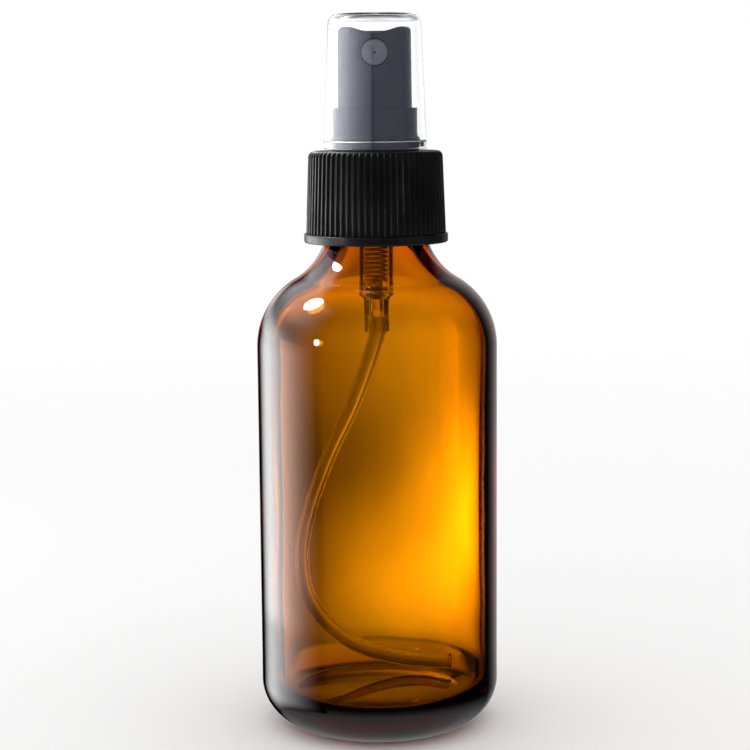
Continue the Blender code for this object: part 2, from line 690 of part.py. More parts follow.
def along_nozzle(outline, segments):
    """Turns an outline of (r, distance behind the nozzle's face) points about the nozzle's own axis."""
    bm = turned(outline, segments)
    for vert in bm.verts:
        x, y, z = vert.co
        vert.co = Vector((x, NOZZLE_FACE_Y + z, NOZZLE_Z - y))
    return bm


def nozzle_pocket():
    """A round pocket that leaves a post standing in its middle."""
    wide = NOZZLE_RADIUS + SLIDE_CLEARANCE
    depth = NOZZLE_BACK_Y - NOZZLE_FACE_Y + GAP
    outside = -2 * MM
    post_end = NOZZLE_WALL + POST_CLEARANCE
    outline = [
        (0.0, outside),
        (wide, outside),
        (wide, depth),
        (NOZZLE_POST_RADIUS, depth),
        (NOZZLE_POST_RADIUS, post_end),
        (0.0, post_end),
    ]
    return along_nozzle(outline, 24)


def build_nozzle_insert():
    """A small cup with the spray orifice through its face."""
    inner = NOZZLE_POST_RADIUS + GAP
    depth = NOZZLE_BACK_Y - NOZZLE_FACE_Y
    outline = [
        (ORIFICE_RADIUS, ORIFICE_CONE_DEPTH),
        (2 * ORIFICE_RADIUS, 0.0),
        (NOZZLE_RADIUS, 0.0),
        (NOZZLE_RADIUS, depth),
        (inner, depth),
        (inner, NOZZLE_WALL),
        (ORIFICE_RADIUS, NOZZLE_WALL),
    ]
    place("nozzle_insert", along_nozzle(outline, 24), black_plastic(), NOZZLE_Z)


def build_overcap():
    top_edge = (CAP_TOP_RADIUS - CAP_ROUNDING, CAP_TOP_Z - CAP_ROUNDING)
    inner_edge = CAP_ROUNDING - CAP_WALL
    slope = (CAP_FOOT_RADIUS - CAP_TOP_RADIUS) / (CAP_TOP_Z - CAP_ROUNDING - CAP_BOTTOM_Z)
    above_rim = CAP_FOOT_RADIUS - CAP_WALL - slope * (CAP_RIM_TOP_Z - CAP_BOTTOM_Z)
    outline = [(0.0, CAP_TOP_Z - CAP_CROWN_DIP)]
    outline += arc(top_edge, CAP_ROUNDING, 90, 0, 4)
    outline += [
        (CAP_FOOT_RADIUS, CAP_BOTTOM_Z),
        (CAP_RIM_BORE, CAP_BOTTOM_Z),
        (CAP_RIM_BORE, CAP_RIM_TOP_Z - GAP),
        (above_rim, CAP_RIM_TOP_Z),
    ]
    outline += arc(top_edge, inner_edge, 0, 90, 3)
    outline += [(0.0, CAP_TOP_Z - CAP_WALL)]
    place("overcap", turned(outline, 32), clear_plastic(), CAP_BOTTOM_Z)


def main():
    clear_scene()
    build_bottle()
    build_closure()
    build_gasket()
    build_housing()
    build_stem_seal()
    build_stem()
    build_piston()
    build_stem_plug()
    build_spring()
    build_ball()
    build_dip_tube()
    build_collar()
    build_actuator()
    build_nozzle_insert()
    build_overcap()


main()
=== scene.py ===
"""Looks of the spray bottle: fine meshes, procedural materials, soft studio light and the camera.

Metres, +Z up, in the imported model's frame. Outlines are half sections, as (radius, height) points.
"""

from math import atan2, cos, degrees, pi, radians, sin, sqrt, tan

import bmesh
import bpy
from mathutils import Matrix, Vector, noise


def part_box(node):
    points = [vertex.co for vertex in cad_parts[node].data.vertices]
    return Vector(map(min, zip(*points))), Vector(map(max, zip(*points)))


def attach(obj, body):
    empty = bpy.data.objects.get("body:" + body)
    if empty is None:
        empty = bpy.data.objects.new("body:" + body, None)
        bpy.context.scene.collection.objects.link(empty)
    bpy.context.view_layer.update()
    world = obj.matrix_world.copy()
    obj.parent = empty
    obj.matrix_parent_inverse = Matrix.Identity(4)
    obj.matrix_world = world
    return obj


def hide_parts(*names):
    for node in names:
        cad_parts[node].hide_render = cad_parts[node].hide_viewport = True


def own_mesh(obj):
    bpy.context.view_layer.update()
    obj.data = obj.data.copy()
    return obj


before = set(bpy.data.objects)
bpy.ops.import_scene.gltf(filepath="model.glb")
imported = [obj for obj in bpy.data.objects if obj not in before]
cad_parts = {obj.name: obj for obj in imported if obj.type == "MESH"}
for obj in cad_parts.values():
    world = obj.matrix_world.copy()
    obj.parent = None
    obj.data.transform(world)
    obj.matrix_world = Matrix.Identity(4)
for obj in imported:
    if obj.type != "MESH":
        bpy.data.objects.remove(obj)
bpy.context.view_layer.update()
BOX = {name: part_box(name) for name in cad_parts}

MM = 0.001
FINE_GAP = 0.3 * MM  # air between neighbouring pieces
ON_AXIS = 1e-7  # radii below this are a pole
SUPPORT_SHARE = 0.25  # how far past a fillet its support point lies, as a share of its radius


# ---- outlines and meshes


def clamp(value, low=0.0, high=1.0):
    return max(low, min(high, value))


def ease(value):
    """Smooth step from 0 to 1."""
    t = clamp(value)
    return t * t * (3 - 2 * t)


def arc(centre, radius, start, end, steps):
    """Points (r, z) on a round stretch of an outline, from start to end in degrees."""
    turn = [radians(start + (end - start) * i / steps) for i in range(steps + 1)]
    return [(centre[0] + radius * cos(a), centre[1] + radius * sin(a)) for a in turn]


def run(start, end, steps):
    """Evenly spaced points on a straight stretch, both ends left out."""
    shares = [i / steps for i in range(1, steps)]
    return [(start[0] + (end[0] - start[0]) * s, start[1] + (end[1] - start[1]) * s) for s in shares]


def filleted(corners, steps=5, closed=True):
    """Rounds (r, z, fillet in mm) corners. Support points beside each fillet let flats shade flat."""
    outline = []
    last = len(corners) - 1
    for i, (r, z, fillet) in enumerate(corners):
        radius = fillet * MM
        if radius == 0.0 or (not closed and i in (0, last)):
            outline.append((r, z))
            continue
        here = Vector((r, z))
        back = (Vector(corners[i - 1][:2]) - here).normalized()
        ahead = (Vector(corners[(i + 1) % len(corners)][:2]) - here).normalized()
        half = back.angle(ahead) / 2
        reach = radius / tan(half)
        centre = here + (back + ahead).normalized() * radius / sin(half)
        first = here + back * reach - centre
        sweep = here + ahead * reach - centre
        begin = atan2(first.y, first.x)
        turn = atan2(sweep.y, sweep.x) - begin
        turn = (turn + pi) % (2 * pi) - pi
        support = reach + SUPPORT_SHARE * radius
        outline.append(tuple(here + back * support))
        for k in range(steps + 1):
            a = begin + turn * k / steps
            outline.append((centre.x + radius * cos(a), centre.y + radius * sin(a)))
        outline.append(tuple(here + ahead * support))
    return outline


def even_angles(segments):
    return [2 * pi * i / segments for i in range(segments)]


def turned(outline, angles, shape=None):
    """Rings of points round the Z axis. shape(r, z, angle) may move a point to another (r, z)."""
    rings = []
    for r, z in outline:
        if r < ON_AXIS:
            rings.append([Vector((0.0, 0.0, z))])
            continue
        moved = [shape(r, z, a) if shape else (r, z) for a in angles]
        rings.append([Vector((p * cos(a), p * sin(a), q)) for a, (p, q) in zip(angles, moved)])
    return rings


def new_object(name, data):
    """A new object in the scene."""
    made = bpy.data.objects.new(name, data)
    bpy.context.scene.collection.objects.link(made)
    return made


def skin(name, rings, closed):
    """Joins rings into one mesh. A ring of one point is a pole.

    closed joins the last ring to the first.
    """
    bm = bmesh.new()
    loops = [[bm.verts.new(point) for point in points] for points in rings]
    pairs = list(zip(loops, loops[1:]))
    if closed:
        pairs.append((loops[-1], loops[0]))
    for low, high in pairs:
        count = max(len(low), len(high))
        for i in range(count):
            j = (i + 1) % count
            if len(low) == 1:
                bm.faces.new((low[0], high[j], high[i]))
            elif len(high) == 1:
                bm.faces.new((low[i], low[j], high[0]))
            else:
                bm.faces.new((low[i], low[j], high[j], high[i]))
    bmesh.ops.recalc_face_normals(bm, faces=bm.faces)
    mesh = bpy.data.meshes.new(name)
    bm.to_mesh(mesh)
    bm.free()
    return new_object(name, mesh)


def smooth(thing, angle=40):
    thing.data.shade_smooth()
    thing.data.set_sharp_from_angle(angle=radians(angle))


def lathe(name, outline, segments=96, closed=True):
    thing = skin(name, turned(outline, even_angles(segments)), closed)
    smooth(thing)
    return thing


def about_nozzle(thing, face_y, centre_z):
    """Turns a piece made about +Z so that its +Z runs back along +Y from the nozzle's face."""
    for vert in thing.data.vertices:
        x, y, z = vert.co
        vert.co = (x, face_y + z, centre_z - y)


def sweep(name, centres, radii, sides, side=(1.0, 0.0, 0.0)):
    """Sweeps a round wire along centres, or a hollow tube when a bore radius follows the outer one."""
    last = len(centres) - 1
    across = Vector(side)
    walls = [[] for _ in radii]
    for i, centre in enumerate(centres):
        ahead = (centres[min(i + 1, last)] - centres[max(i - 1, 0)]).normalized()
        across = (across - ahead * across.dot(ahead)).normalized()
        up = ahead.cross(across)
        for wall, radius in zip(walls, radii):
            wall.append([centre + radius * (cos(a) * across + sin(a) * up) for a in even_angles(sides)])
    if len(radii) == 1:
        rings = [[centres[0]], *walls[0], [centres[-1]]]
    else:
        rings = walls[0] + walls[1][::-1]
    thing = skin(name, rings, closed=len(radii) > 1)
    smooth(thing, angle=50)
    return thing


def cut(piece, tool, operation="DIFFERENCE"):
    """Applies one Boolean with a helper solid and removes the helper."""
    change = piece.modifiers.new("cut", "BOOLEAN")
    change.operation = operation
    change.solver = "EXACT"
    change.object = tool
    depsgraph = bpy.context.evaluated_depsgraph_get()
    result = bpy.data.meshes.new_from_object(piece.evaluated_get(depsgraph))
    piece.modifiers.clear()
    old = piece.data
    piece.data = result
    bpy.data.meshes.remove(old)
    bpy.data.objects.remove(tool, do_unlink=True)
    smooth(piece, angle=35)


def bar(name, start, end, radius, segments=32):
    """A plain round helper solid between two points."""
    return sweep(name, [Vector(start), Vector(end)], (radius,), segments, side=(0.3, 0.2, 1.0))


def thread_lift(z, angle, first_z, turns, root, crest, height):
    """How far a right-hand helical ridge stands off its wall at this height and angle.

    root and crest are its widths at the wall and at its top. Both ends run out over a short stretch.
    """
    lift = 0.0
    for whole in range(int(turns) + 1):
        along = angle / (2 * pi) + whole
        if along > turns:
            continue
        off = abs(z - first_z - THREAD_PITCH * along)
        flank = ease((root / 2 - off) / ((root - crest) / 2))
        fade = ease(min(along, turns - along) / THREAD_RUN_OUT)
        lift = max(lift, height * flank * fade)
    return lift


# ---- materials


def node(tree, kind, **settings):
    made = tree.nodes.new(kind)
    for key, value in settings.items():
        setattr(made, key, value)
    return made


def speckle(tree, size, detail=3.0, stretch=(1.0, 1.0, 1.0)):
    """Noise in the piece's own space with features of about that size in metres."""
    place = node(tree, "ShaderNodeTexCoord")
    scaled = node(tree, "ShaderNodeMapping")
    scaled.inputs["Scale"].default_value = stretch
    made = node(tree, "ShaderNodeTexNoise")
    made.inputs["Scale"].default_value = 1.0 / size
    made.inputs["Detail"].default_value = detail
    tree.links.new(place.outputs["Object"], scaled.inputs["Vector"])
    tree.links.new(scaled.outputs["Vector"], made.inputs["Vector"])
    return made.outputs["Fac"]


def spread(tree, value, low, high, from_low=0.3, from_high=0.7):
    """Maps noise on to a range."""
    made = node(tree, "ShaderNodeMapRange")
    made.inputs["From Min"].default_value = from_low
    made.inputs["From Max"].default_value = from_high
    made.inputs["To Min"].default_value = low
    made.inputs["To Max"].default_value = high
    tree.links.new(value, made.inputs["Value"])
    return made.outputs["Result"]


def set_colour(tree, shader, value, dark, light):
    """Colour that drifts between two near shades."""
    made = node(tree, "ShaderNodeMix", data_type="RGBA")
    colours = [socket for socket in made.inputs if socket.type == "RGBA"]
    colours[0].default_value = (*dark, 1.0)
    colours[1].default_value = (*light, 1.0)
    tree.links.new(spread(tree, value, 0.0, 1.0), made.inputs["Factor"])
    mixed = next(socket for socket in made.outputs if socket.type == "RGBA")
    tree.links.new(mixed, shader.inputs["Base Color"])


def set_roughness(tree, shader, value, low, high):
    tree.links.new(spread(tree, value, low, high), shader.inputs["Roughness"])


def set_relief(tree, shader, *heights):
    """Stacked bumps from (value, depth in metres) pairs."""
    normal = None
    for value, depth in heights:
        made = node(tree, "ShaderNodeBump")
        made.inputs["Strength"].default_value = 1.0
        made.inputs["Distance"].default_value = depth
        tree.links.new(value, made.inputs["Height"])
        if normal is not None:
            tree.links.new(normal, made.inputs["Normal"])
        normal = made.outputs["Normal"]
    tree.links.new(normal, shader.inputs["Normal"])


def principled(name, **sockets):
    """A new material with values set on the shader's own sockets."""
    made = bpy.data.materials.new(name)
    made.use_nodes = True
    tree = made.node_tree
    shader = tree.nodes["Principled BSDF"]
    for key, value in sockets.items():
        shader.inputs[key.replace("_", " ")].default_value = value
    return made, tree, shader


def moulded(name, dark, light, rough, grain, depth, **sockets):
    """Injection-moulded plastic: drifting shade, uneven gloss, spark-eroded grain and a faint flow wave."""
    made, tree, shader = principled(name, **sockets)
    set_colour(tree, shader, speckle(tree, 6 * MM, 2.0), dark, light)
    set_roughness(tree, shader, speckle(tree, 1.5 * MM, 4.0), *rough)
    wave = speckle(tree, 4 * MM, 1.0)
    set_relief(tree, shader, (wave, 4 * depth), (speckle(tree, grain, 2.0), depth))
    return made


def amber_glass():
    """Amber container glass: colour in its volume, and a gentle hot-formed ripple on its skin."""
    made, tree, shader = principled(
        "amber_glass",
        Base_Color=(1.0, 1.0, 1.0, 1.0),
        Roughness=0.0,
        IOR=1.52,
        Transmission_Weight=1.0,
    )
    ripple = speckle(tree, 14 * MM, 1.0, stretch=(1.0, 1.0, 0.45))
    pits = speckle(tree, 1.2 * MM, 1.0)
    set_relief(tree, shader, (ripple, 0.035 * MM), (pits, 0.0005 * MM))
    absorb = node(tree, "ShaderNodeVolumeAbsorption")
    absorb.inputs["Color"].default_value = (0.94, 0.782, 0.0, 1.0)
    absorb.inputs["Density"].default_value = 1500.0
    tree.links.new(absorb.outputs["Volume"], tree.nodes["Material Output"].inputs["Volume"])
    return made


def closure_plastic():
    """Satin black."""
    return moulded(
        "closure_plastic",
        dark=(0.0045, 0.0045, 0.005),
        light=(0.009, 0.009, 0.0095),
        rough=(0.30, 0.42),
        grain=0.25 * MM,
        depth=0.004 * MM,
        IOR=1.49,
        Specular_IOR_Level=0.5,
    )


def pump_plastic():
    """Satin blue-black."""
    return moulded(
        "pump_plastic",
        dark=(0.014, 0.021, 0.056),
        light=(0.020, 0.029, 0.072),
        rough=(0.36, 0.48),
        grain=0.25 * MM,
        depth=0.0015 * MM,
        IOR=1.49,
        Specular_IOR_Level=0.3,
    )


def insert_plastic():
    """Smooth grey."""
    return moulded(
        "insert_plastic",
        dark=(0.13, 0.15, 0.20),
        light=(0.17, 0.19, 0.25),
        rough=(0.25, 0.36),
        grain=0.2 * MM,
        depth=0.002 * MM,
        IOR=1.49,
    )


def clear_plastic():
    """Clarified plastic, very slightly milky, with the faint flow of its moulding."""
    made, tree, shader = principled(
        "clear_plastic",
        Base_Color=(0.985, 0.99, 1.0, 1.0),
        IOR=1.49,
        Transmission_Weight=0.994,
    )
    set_roughness(tree, shader, speckle(tree, 3 * MM, 3.0), 0.01, 0.03)
    flow = speckle(tree, 7 * MM, 1.0, stretch=(1.0, 1.0, 0.4))
    set_relief(tree, shader, (flow, 0.012 * MM))
    return made


def natural_plastic():
    """Uncoloured polypropylene: translucent, a little cloudy and warm."""
    made, tree, shader = principled("natural_plastic", IOR=1.49, Transmission_Weight=0.98)
    cloud = speckle(tree, 3 * MM, 3.0)
    set_colour(tree, shader, cloud, dark=(0.86, 0.84, 0.79), light=(0.95, 0.94, 0.90))
    set_roughness(tree, shader, cloud, 0.08, 0.13)
    set_relief(tree, shader, (speckle(tree, 1.0 * MM), 0.004 * MM))
    return made


def tube_plastic():
    """Extruded tube, with fine draw lines along its length."""
    made, tree, shader = principled("tube_plastic", IOR=1.50, Transmission_Weight=0.82)
    cloud = speckle(tree, 4 * MM, 2.0)
    set_colour(tree, shader, cloud, dark=(0.90, 0.89, 0.85), light=(0.97, 0.965, 0.94))
    set_roughness(tree, shader, cloud, 0.14, 0.2)
    lines = speckle(tree, 0.5 * MM, 2.0, stretch=(1.0, 1.0, 0.08))
    set_relief(tree, shader, (lines, 0.003 * MM))
    return made


def soft_plastic():
    """Soft white sealing plastic, a little translucent."""
    return moulded(
        "soft_plastic",
        dark=(0.72, 0.72, 0.69),
        light=(0.82, 0.82, 0.80),
        rough=(0.45, 0.6),
        grain=0.3 * MM,
        depth=0.004 * MM,
        IOR=1.5,
        Subsurface_Weight=0.15,
        Subsurface_Scale=0.5 * MM,
    )


def steel(name, size, depth, rough):
    """Steel with fine marks from drawing or tumbling."""
    made, tree, shader = principled(name, Metallic=1.0)
    marks = speckle(tree, size, 4.0, stretch=(1.0, 1.0, 3.0))
    set_colour(tree, shader, marks, dark=(0.42, 0.41, 0.40), light=(0.60, 0.59, 0.57))
    set_roughness(tree, shader, marks, *rough)
    set_relief(tree, shader, (marks, depth))
    return made


def finish_piece(piece, body, replaced, material):
    """Gives a piece its material and its body, and hides the CAD node that it stands for."""
    piece.data.materials.clear()
    piece.data.materials.append(material)
    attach(piece, body)
    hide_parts(replaced)


# ---- glass bottle

THREAD_PITCH = 25.4 * MM / 8
THREAD_TURNS = 1.1
THREAD_RUN_OUT = 0.07  # of a turn
BOTTLE_SEGMENTS = 192

GLASS_WALL = 2.4 * MM
HEEL_RADIUS = 9.2 * MM
BASE_RING_INNER = 12.6 * MM
BASE_RING_MIDDLE = 13.8 * MM
BASE_PUSH_UP = 1.3 * MM
SHOULDER_Z = 77.2 * MM
SHOULDER_RADIUS = 16.0 * MM
FLARE_RADIUS = 12.7 * MM
NECK_RADIUS = 9.88 * MM
LIP_ROUNDING = 0.6 * MM
NECK_WALL_Z = 104.0 * MM
THREAD_HEIGHT = 0.97 * MM
THREAD_ROOT = 2.0 * MM
THREAD_CREST = 0.9 * MM
THREAD_TOP_BELOW_LIP = 2.35 * MM
INNER_HEEL_RADIUS = 5.2 * MM
INNER_SHOULDER_RADIUS = 13.6 * MM
INNER_FLARE_RADIUS = 15.0 * MM
BORE_RADIUS = 6.2 * MM
FLOOR_Z = 6.0 * MM
FLOOR_CROWN = 0.7 * MM
SEAM_WIDTH = 0.35 * MM
SEAM_HEIGHT = 0.05 * MM
SEAM_LOW = 9.0 * MM
SEAM_HIGH = 100.0 * MM
SEAM_FADE = 6.0 * MM
STIPPLE_DEPTH = 0.09 * MM
WALL_WAVE = 0.11 * MM
WAVE_RISE = 24.0 * MM
WAVES_AROUND = 1.4
FINER_WAVES = 2.3


def shoulder_and_neck(wall, shoulder, flare, neck, steps):
    """The S curve from the straight wall up to the neck, as two tangent arcs."""
    low = (wall - shoulder, SHOULDER_Z)
    across = neck + flare - low[0]
    rise = sqrt((shoulder + flare) ** 2 - across**2)
    high = (neck + flare, SHOULDER_Z + rise)
    meet = degrees(atan2(rise, across))
    curve = arc(low, shoulder, 0, meet, steps)
    curve += arc(high, flare, meet + 180, 180, steps - 2)[1:]
    return curve


def bottle_angles():
    """Even steps, with closer ones across the mould's two parting lines."""
    body = BOX["bottle"][1].x
    close = [k * SEAM_WIDTH / 4 / body for k in (-3, -2, -1, 1, 2, 3)]
    extra = [(side + offset) % (2 * pi) for side in (0.0, pi) for offset in close]
    return sorted(even_angles(BOTTLE_SEGMENTS) + extra)


def seam_lift(r, z, angle):
    """The fine line that the two mould halves leave on both sides of the body."""
    away = abs(sin(angle)) * r
    shown = ease((z - SEAM_LOW) / SEAM_FADE) * ease((SEAM_HIGH - z) / SEAM_FADE)
    return SEAM_HEIGHT * shown * ease(1 - away / (SEAM_WIDTH / 2))


def outer_glass(r, z, angle):
    """Thread on the neck, parting line on the body and stipple on the ring that the bottle stands on."""
    lip = BOX["bottle"][1].z
    first = lip - THREAD_TOP_BELOW_LIP - THREAD_TURNS * THREAD_PITCH
    neck = ease((z - NECK_WALL_Z) / MM) * ease((lip - 0.8 * MM - z) / (0.3 * MM))
    r += neck * thread_lift(z, angle, first, THREAD_TURNS, THREAD_ROOT, THREAD_CREST, THREAD_HEIGHT)
    r -= SEAM_HEIGHT * ease((z - SEAM_LOW + MM) / SEAM_FADE) - seam_lift(r, z, angle)
    on_ring = ease(1 - abs(r - BASE_RING_MIDDLE) / (1.3 * MM)) * ease((0.4 * MM - z) / (0.3 * MM))
    z += STIPPLE_DEPTH * on_ring * (0.5 - 0.5 * cos(BOTTLE_SEGMENTS / 2 * angle))
    return r, z


def inner_glass(r, z, angle):
    """Blown glass is never even inside: a slow wave in the wall's thickness."""
    place = Vector((WAVES_AROUND * cos(angle), WAVES_AROUND * sin(angle), z / WAVE_RISE))
    strength = ease((z - 11 * MM) / (14 * MM)) * ease((98 * MM - z) / (12 * MM))
    r += WALL_WAVE * strength * noise.noise(place)
    r += 0.35 * WALL_WAVE * strength * noise.noise(FINER_WAVES * place + Vector((5.1, 2.7, 9.3)))
    return r, z


def build_bottle():
    """Outer outline from the middle of the base to the lip, then the inner one back down to the floor."""
    body = BOX["bottle"][1].x
    lip_z = BOX["bottle"][1].z
    heel_centre = body - HEEL_RADIUS
    outside = [(0.0, BASE_PUSH_UP)]
    for across, rise in ((0.3, 0.97), (0.55, 0.85), (0.75, 0.64), (0.88, 0.38), (0.96, 0.12), (1.0, 0.0)):
        outside.append((across * BASE_RING_INNER, rise * BASE_PUSH_UP))
    outside += run((BASE_RING_INNER, 0.0), (heel_centre, 0.0), 5)
    outside += arc((heel_centre, HEEL_RADIUS), HEEL_RADIUS, -90, 0, 20)
    outside += run((body, HEEL_RADIUS), (body, SHOULDER_Z), 24)
    outside += shoulder_and_neck(body, SHOULDER_RADIUS, FLARE_RADIUS, NECK_RADIUS, 22)
    outside += run((NECK_RADIUS, outside[-1][1]), (NECK_RADIUS, lip_z - LIP_ROUNDING), 48)
    outside += arc((NECK_RADIUS - LIP_ROUNDING, lip_z - LIP_ROUNDING), LIP_ROUNDING, 0, 90, 6)
    outside += arc((BORE_RADIUS + LIP_ROUNDING, lip_z - LIP_ROUNDING), LIP_ROUNDING, 90, 180, 6)
    inner = body - GLASS_WALL
    heel = (inner - INNER_HEEL_RADIUS, FLOOR_Z + INNER_HEEL_RADIUS)
    inside = shoulder_and_neck(inner, INNER_SHOULDER_RADIUS, INNER_FLARE_RADIUS, BORE_RADIUS, 22)[::-1]
    inside += run((inner, SHOULDER_Z), (inner, heel[1]), 36)
    inside += arc(heel, INNER_HEEL_RADIUS, 0, -90, 14)
    for share in (0.85, 0.7, 0.55, 0.4, 0.25, 0.1):
        inside.append((share * heel[0], FLOOR_Z + FLOOR_CROWN * (1 - share**2)))
    inside.append((0.0, FLOOR_Z + FLOOR_CROWN))
    angles = bottle_angles()
    rings = turned(outside, angles, outer_glass) + turned(inside, angles, inner_glass)
    bottle = skin("glass_bottle", rings, closed=False)
    smooth(bottle, angle=60)
    finish_piece(bottle, "bottle", "bottle", amber_glass())


# ---- closure

RIB_COUNT = 68
POINTS_PER_RIB = 10
RIB_HEIGHT = 0.5 * MM
GROOVE_SHARE = 0.13  # half of the groove's flat bottom, as a share of the pitch
FLANK_SHARE = 0.3
RIB_FOOT_RADIUS = 13.95 * MM
RIB_TOP_RADIUS = 13.38 * MM
FLANGE_HEIGHT = 1.8 * MM
CLOSURE_PLATE = 1.1 * MM
CLOSURE_ROUNDING = 1.2 * MM
CLOSURE_HOLE = 5.5 * MM
SLEEVE_INNER = 11.2 * MM
SLEEVE_OUTER = 12.0 * MM
SLEEVE_RISE = 3.2 * MM
SKIRT_INNER = 12.55 * MM
CAP_THREAD_HEIGHT = 1.0 * MM
CAP_THREAD_ROOT = 1.3 * MM
CAP_THREAD_CREST = 0.6 * MM


def rib_share(angle):
    """0 in the middle of a groove and 1 on a rib's crest, with rounded shoulders between."""
    across = angle * RIB_COUNT / (2 * pi) % 1.0
    return ease((0.5 - abs(across - 0.5) - GROOVE_SHARE) / FLANK_SHARE)


def closure_skin(r, z, angle):
    """Ribs that fade over the shoulder, and the thread inside the sleeve."""
    low, high = BOX["closure"]
    if r > SKIRT_INNER + FINE_GAP and z > low.z + FLANGE_HEIGHT + 0.05 * MM and z < high.z - 0.01 * MM:
        fade = clamp((high.z - z) / (0.5 * CLOSURE_ROUNDING))
        r -= RIB_HEIGHT * (1 - rib_share(angle)) * sqrt(fade)
    if abs(r - SLEEVE_INNER) < 0.01 * MM:
        first = BOX["bottle"][1].z - THREAD_TOP_BELOW_LIP - (THREAD_TURNS + 0.5) * THREAD_PITCH
        r -= thread_lift(z, angle, first, THREAD_TURNS, CAP_THREAD_ROOT, CAP_THREAD_CREST, CAP_THREAD_HEIGHT)
    return r, z


def build_closure():
    """Ribbed skirt outside, threaded sleeve inside, joined by the plate with the hole for the pump."""
    low, high = BOX["closure"]
    flange_top = low.z + FLANGE_HEIGHT
    roof = high.z - CLOSURE_PLATE
    wall_top = roof - 1.0 * MM
    shoulder_z = high.z - CLOSURE_ROUNDING
    corners = [
        (SKIRT_INNER, low.z, 0.15),
        (high.x, low.z, 0.35),
        (high.x, flange_top, 0.3),
        (RIB_FOOT_RADIUS - 0.5 * RIB_HEIGHT, flange_top, 0.0),
        (RIB_FOOT_RADIUS, flange_top + 0.2 * MM, 0.0),
    ]
    outside = filleted(corners, closed=False)
    outside += run((RIB_FOOT_RADIUS, flange_top + 0.2 * MM), (RIB_TOP_RADIUS, shoulder_z), 4)
    outside += arc((RIB_TOP_RADIUS - CLOSURE_ROUNDING, shoulder_z), CLOSURE_ROUNDING, 0, 90, 8)
    corners = [
        (RIB_TOP_RADIUS - CLOSURE_ROUNDING - 0.1 * MM, high.z, 0.0),
        (CLOSURE_HOLE, high.z, 0.2),
        (CLOSURE_HOLE, roof, 0.2),
        (SLEEVE_INNER, roof, 0.3),
        (SLEEVE_INNER, wall_top, 0.0),
    ]
    outside += filleted(corners, closed=False, steps=3)
    sleeve_bottom = low.z + SLEEVE_RISE
    outside += run((SLEEVE_INNER, wall_top), (SLEEVE_INNER, sleeve_bottom + 0.3 * MM), 46)
    corners = [
        (SLEEVE_INNER, sleeve_bottom + 0.3 * MM, 0.0),
        (SLEEVE_INNER, sleeve_bottom, 0.12),
        (SLEEVE_OUTER, sleeve_bottom, 0.12),
        (SLEEVE_OUTER, wall_top, 0.0),
        (SKIRT_INNER, wall_top, 0.0),
        (SKIRT_INNER, low.z + 0.5 * MM, 0.0),
    ]
    outside += filleted(corners, closed=False, steps=3)
    angles = even_angles(RIB_COUNT * POINTS_PER_RIB)
    closure = skin("ribbed_closure", turned(outside, angles, closure_skin), closed=True)
    smooth(closure, angle=50)
    finish_piece(closure, "closure", "closure", closure_plastic())


# ---- pump

STEM_RADIUS = 1.6 * MM
STEM_BORE = 0.75 * MM
SEAL_SEAT_Z = 113.1 * MM
TURRET_RADIUS = 5.2 * MM
TURRET_BORE = 4.2 * MM
TURRET_TOP_Z = 119.3 * MM
BARREL_RADIUS = 3.4 * MM
BARREL_BORE = 2.8 * MM
BARREL_FOOT_Z = 88.3 * MM
BALL_SEAT_Z = 88.0 * MM
SOCKET_BORE = 1.85 * MM
SOCKET_RADIUS = 2.5 * MM
INLET_RADIUS = 0.9 * MM
TUBE_RADIUS = 1.6 * MM
TUBE_BORE = 1.0 * MM
SPRING_RADIUS = 2.05 * MM
SPRING_WIRE = 0.25 * MM
SPRING_TURNS = 14.25


def build_gasket():
    """A flat soft ring on the lip."""
    low, high = BOX["neck_gasket"]
    inner = 6.6 * MM
    corners = [
        (inner, low.z, 0.15),
        (high.x, low.z, 0.15),
        (high.x, high.z, 0.15),
        (inner, high.z, 0.15),
    ]
    gasket = lathe("lip_gasket", filleted(corners), 128)
    finish_piece(gasket, "pump", "neck_gasket", soft_plastic())


def build_housing():
    """Flange and turret above, barrel in the neck, tube socket below with the inlet seat between."""
    low, high = BOX["pump_housing"]
    flange_low = 114.05 * MM
    flange_top = 114.95 * MM
    spring_seat = 88.85 * MM
    inlet_foot = 84.8 * MM
    socket_roof = 83.6 * MM
    ball_cup = 1.75 * MM
    corners = [
        (SOCKET_BORE, low.z, 0.1),
        (SOCKET_RADIUS, low.z, 0.2),
        (SOCKET_RADIUS, BARREL_FOOT_Z - 1.0 * MM, 0.4),
        (BARREL_RADIUS, BARREL_FOOT_Z, 0.4),
        (BARREL_RADIUS, flange_low - 2.0 * MM, 0.4),
        (TURRET_RADIUS, flange_low - 1.2 * MM, 0.2),
        (TURRET_RADIUS, flange_low, 0.15),
        (high.x, flange_low, 0.15),
        (high.x, flange_top, 0.15),
        (TURRET_RADIUS, flange_top, 0.15),
        (TURRET_RADIUS, high.z, 0.2),
        (TURRET_BORE, high.z, 0.2),
        (TURRET_BORE, SEAL_SEAT_Z, 0.15),
        (BARREL_BORE, SEAL_SEAT_Z, 0.15),
        (BARREL_BORE, spring_seat, 0.1),
        (ball_cup, spring_seat, 0.1),
        (INLET_RADIUS, BALL_SEAT_Z, 0.1),
        (INLET_RADIUS, inlet_foot, 0.1),
        (TUBE_BORE, socket_roof, 0.05),
        (SOCKET_BORE, socket_roof, 0.1),
    ]
    housing = lathe("pump_barrel", filleted(corners, 4))
    vent_z = 111.6 * MM
    vent_radius = 0.4 * MM
    cut(housing, bar("vent_tool", (0.0, -2 * BARREL_RADIUS, vent_z), (0.0, 0.0, vent_z), vent_radius, 24))
    finish_piece(housing, "pump", "pump_housing", natural_plastic())


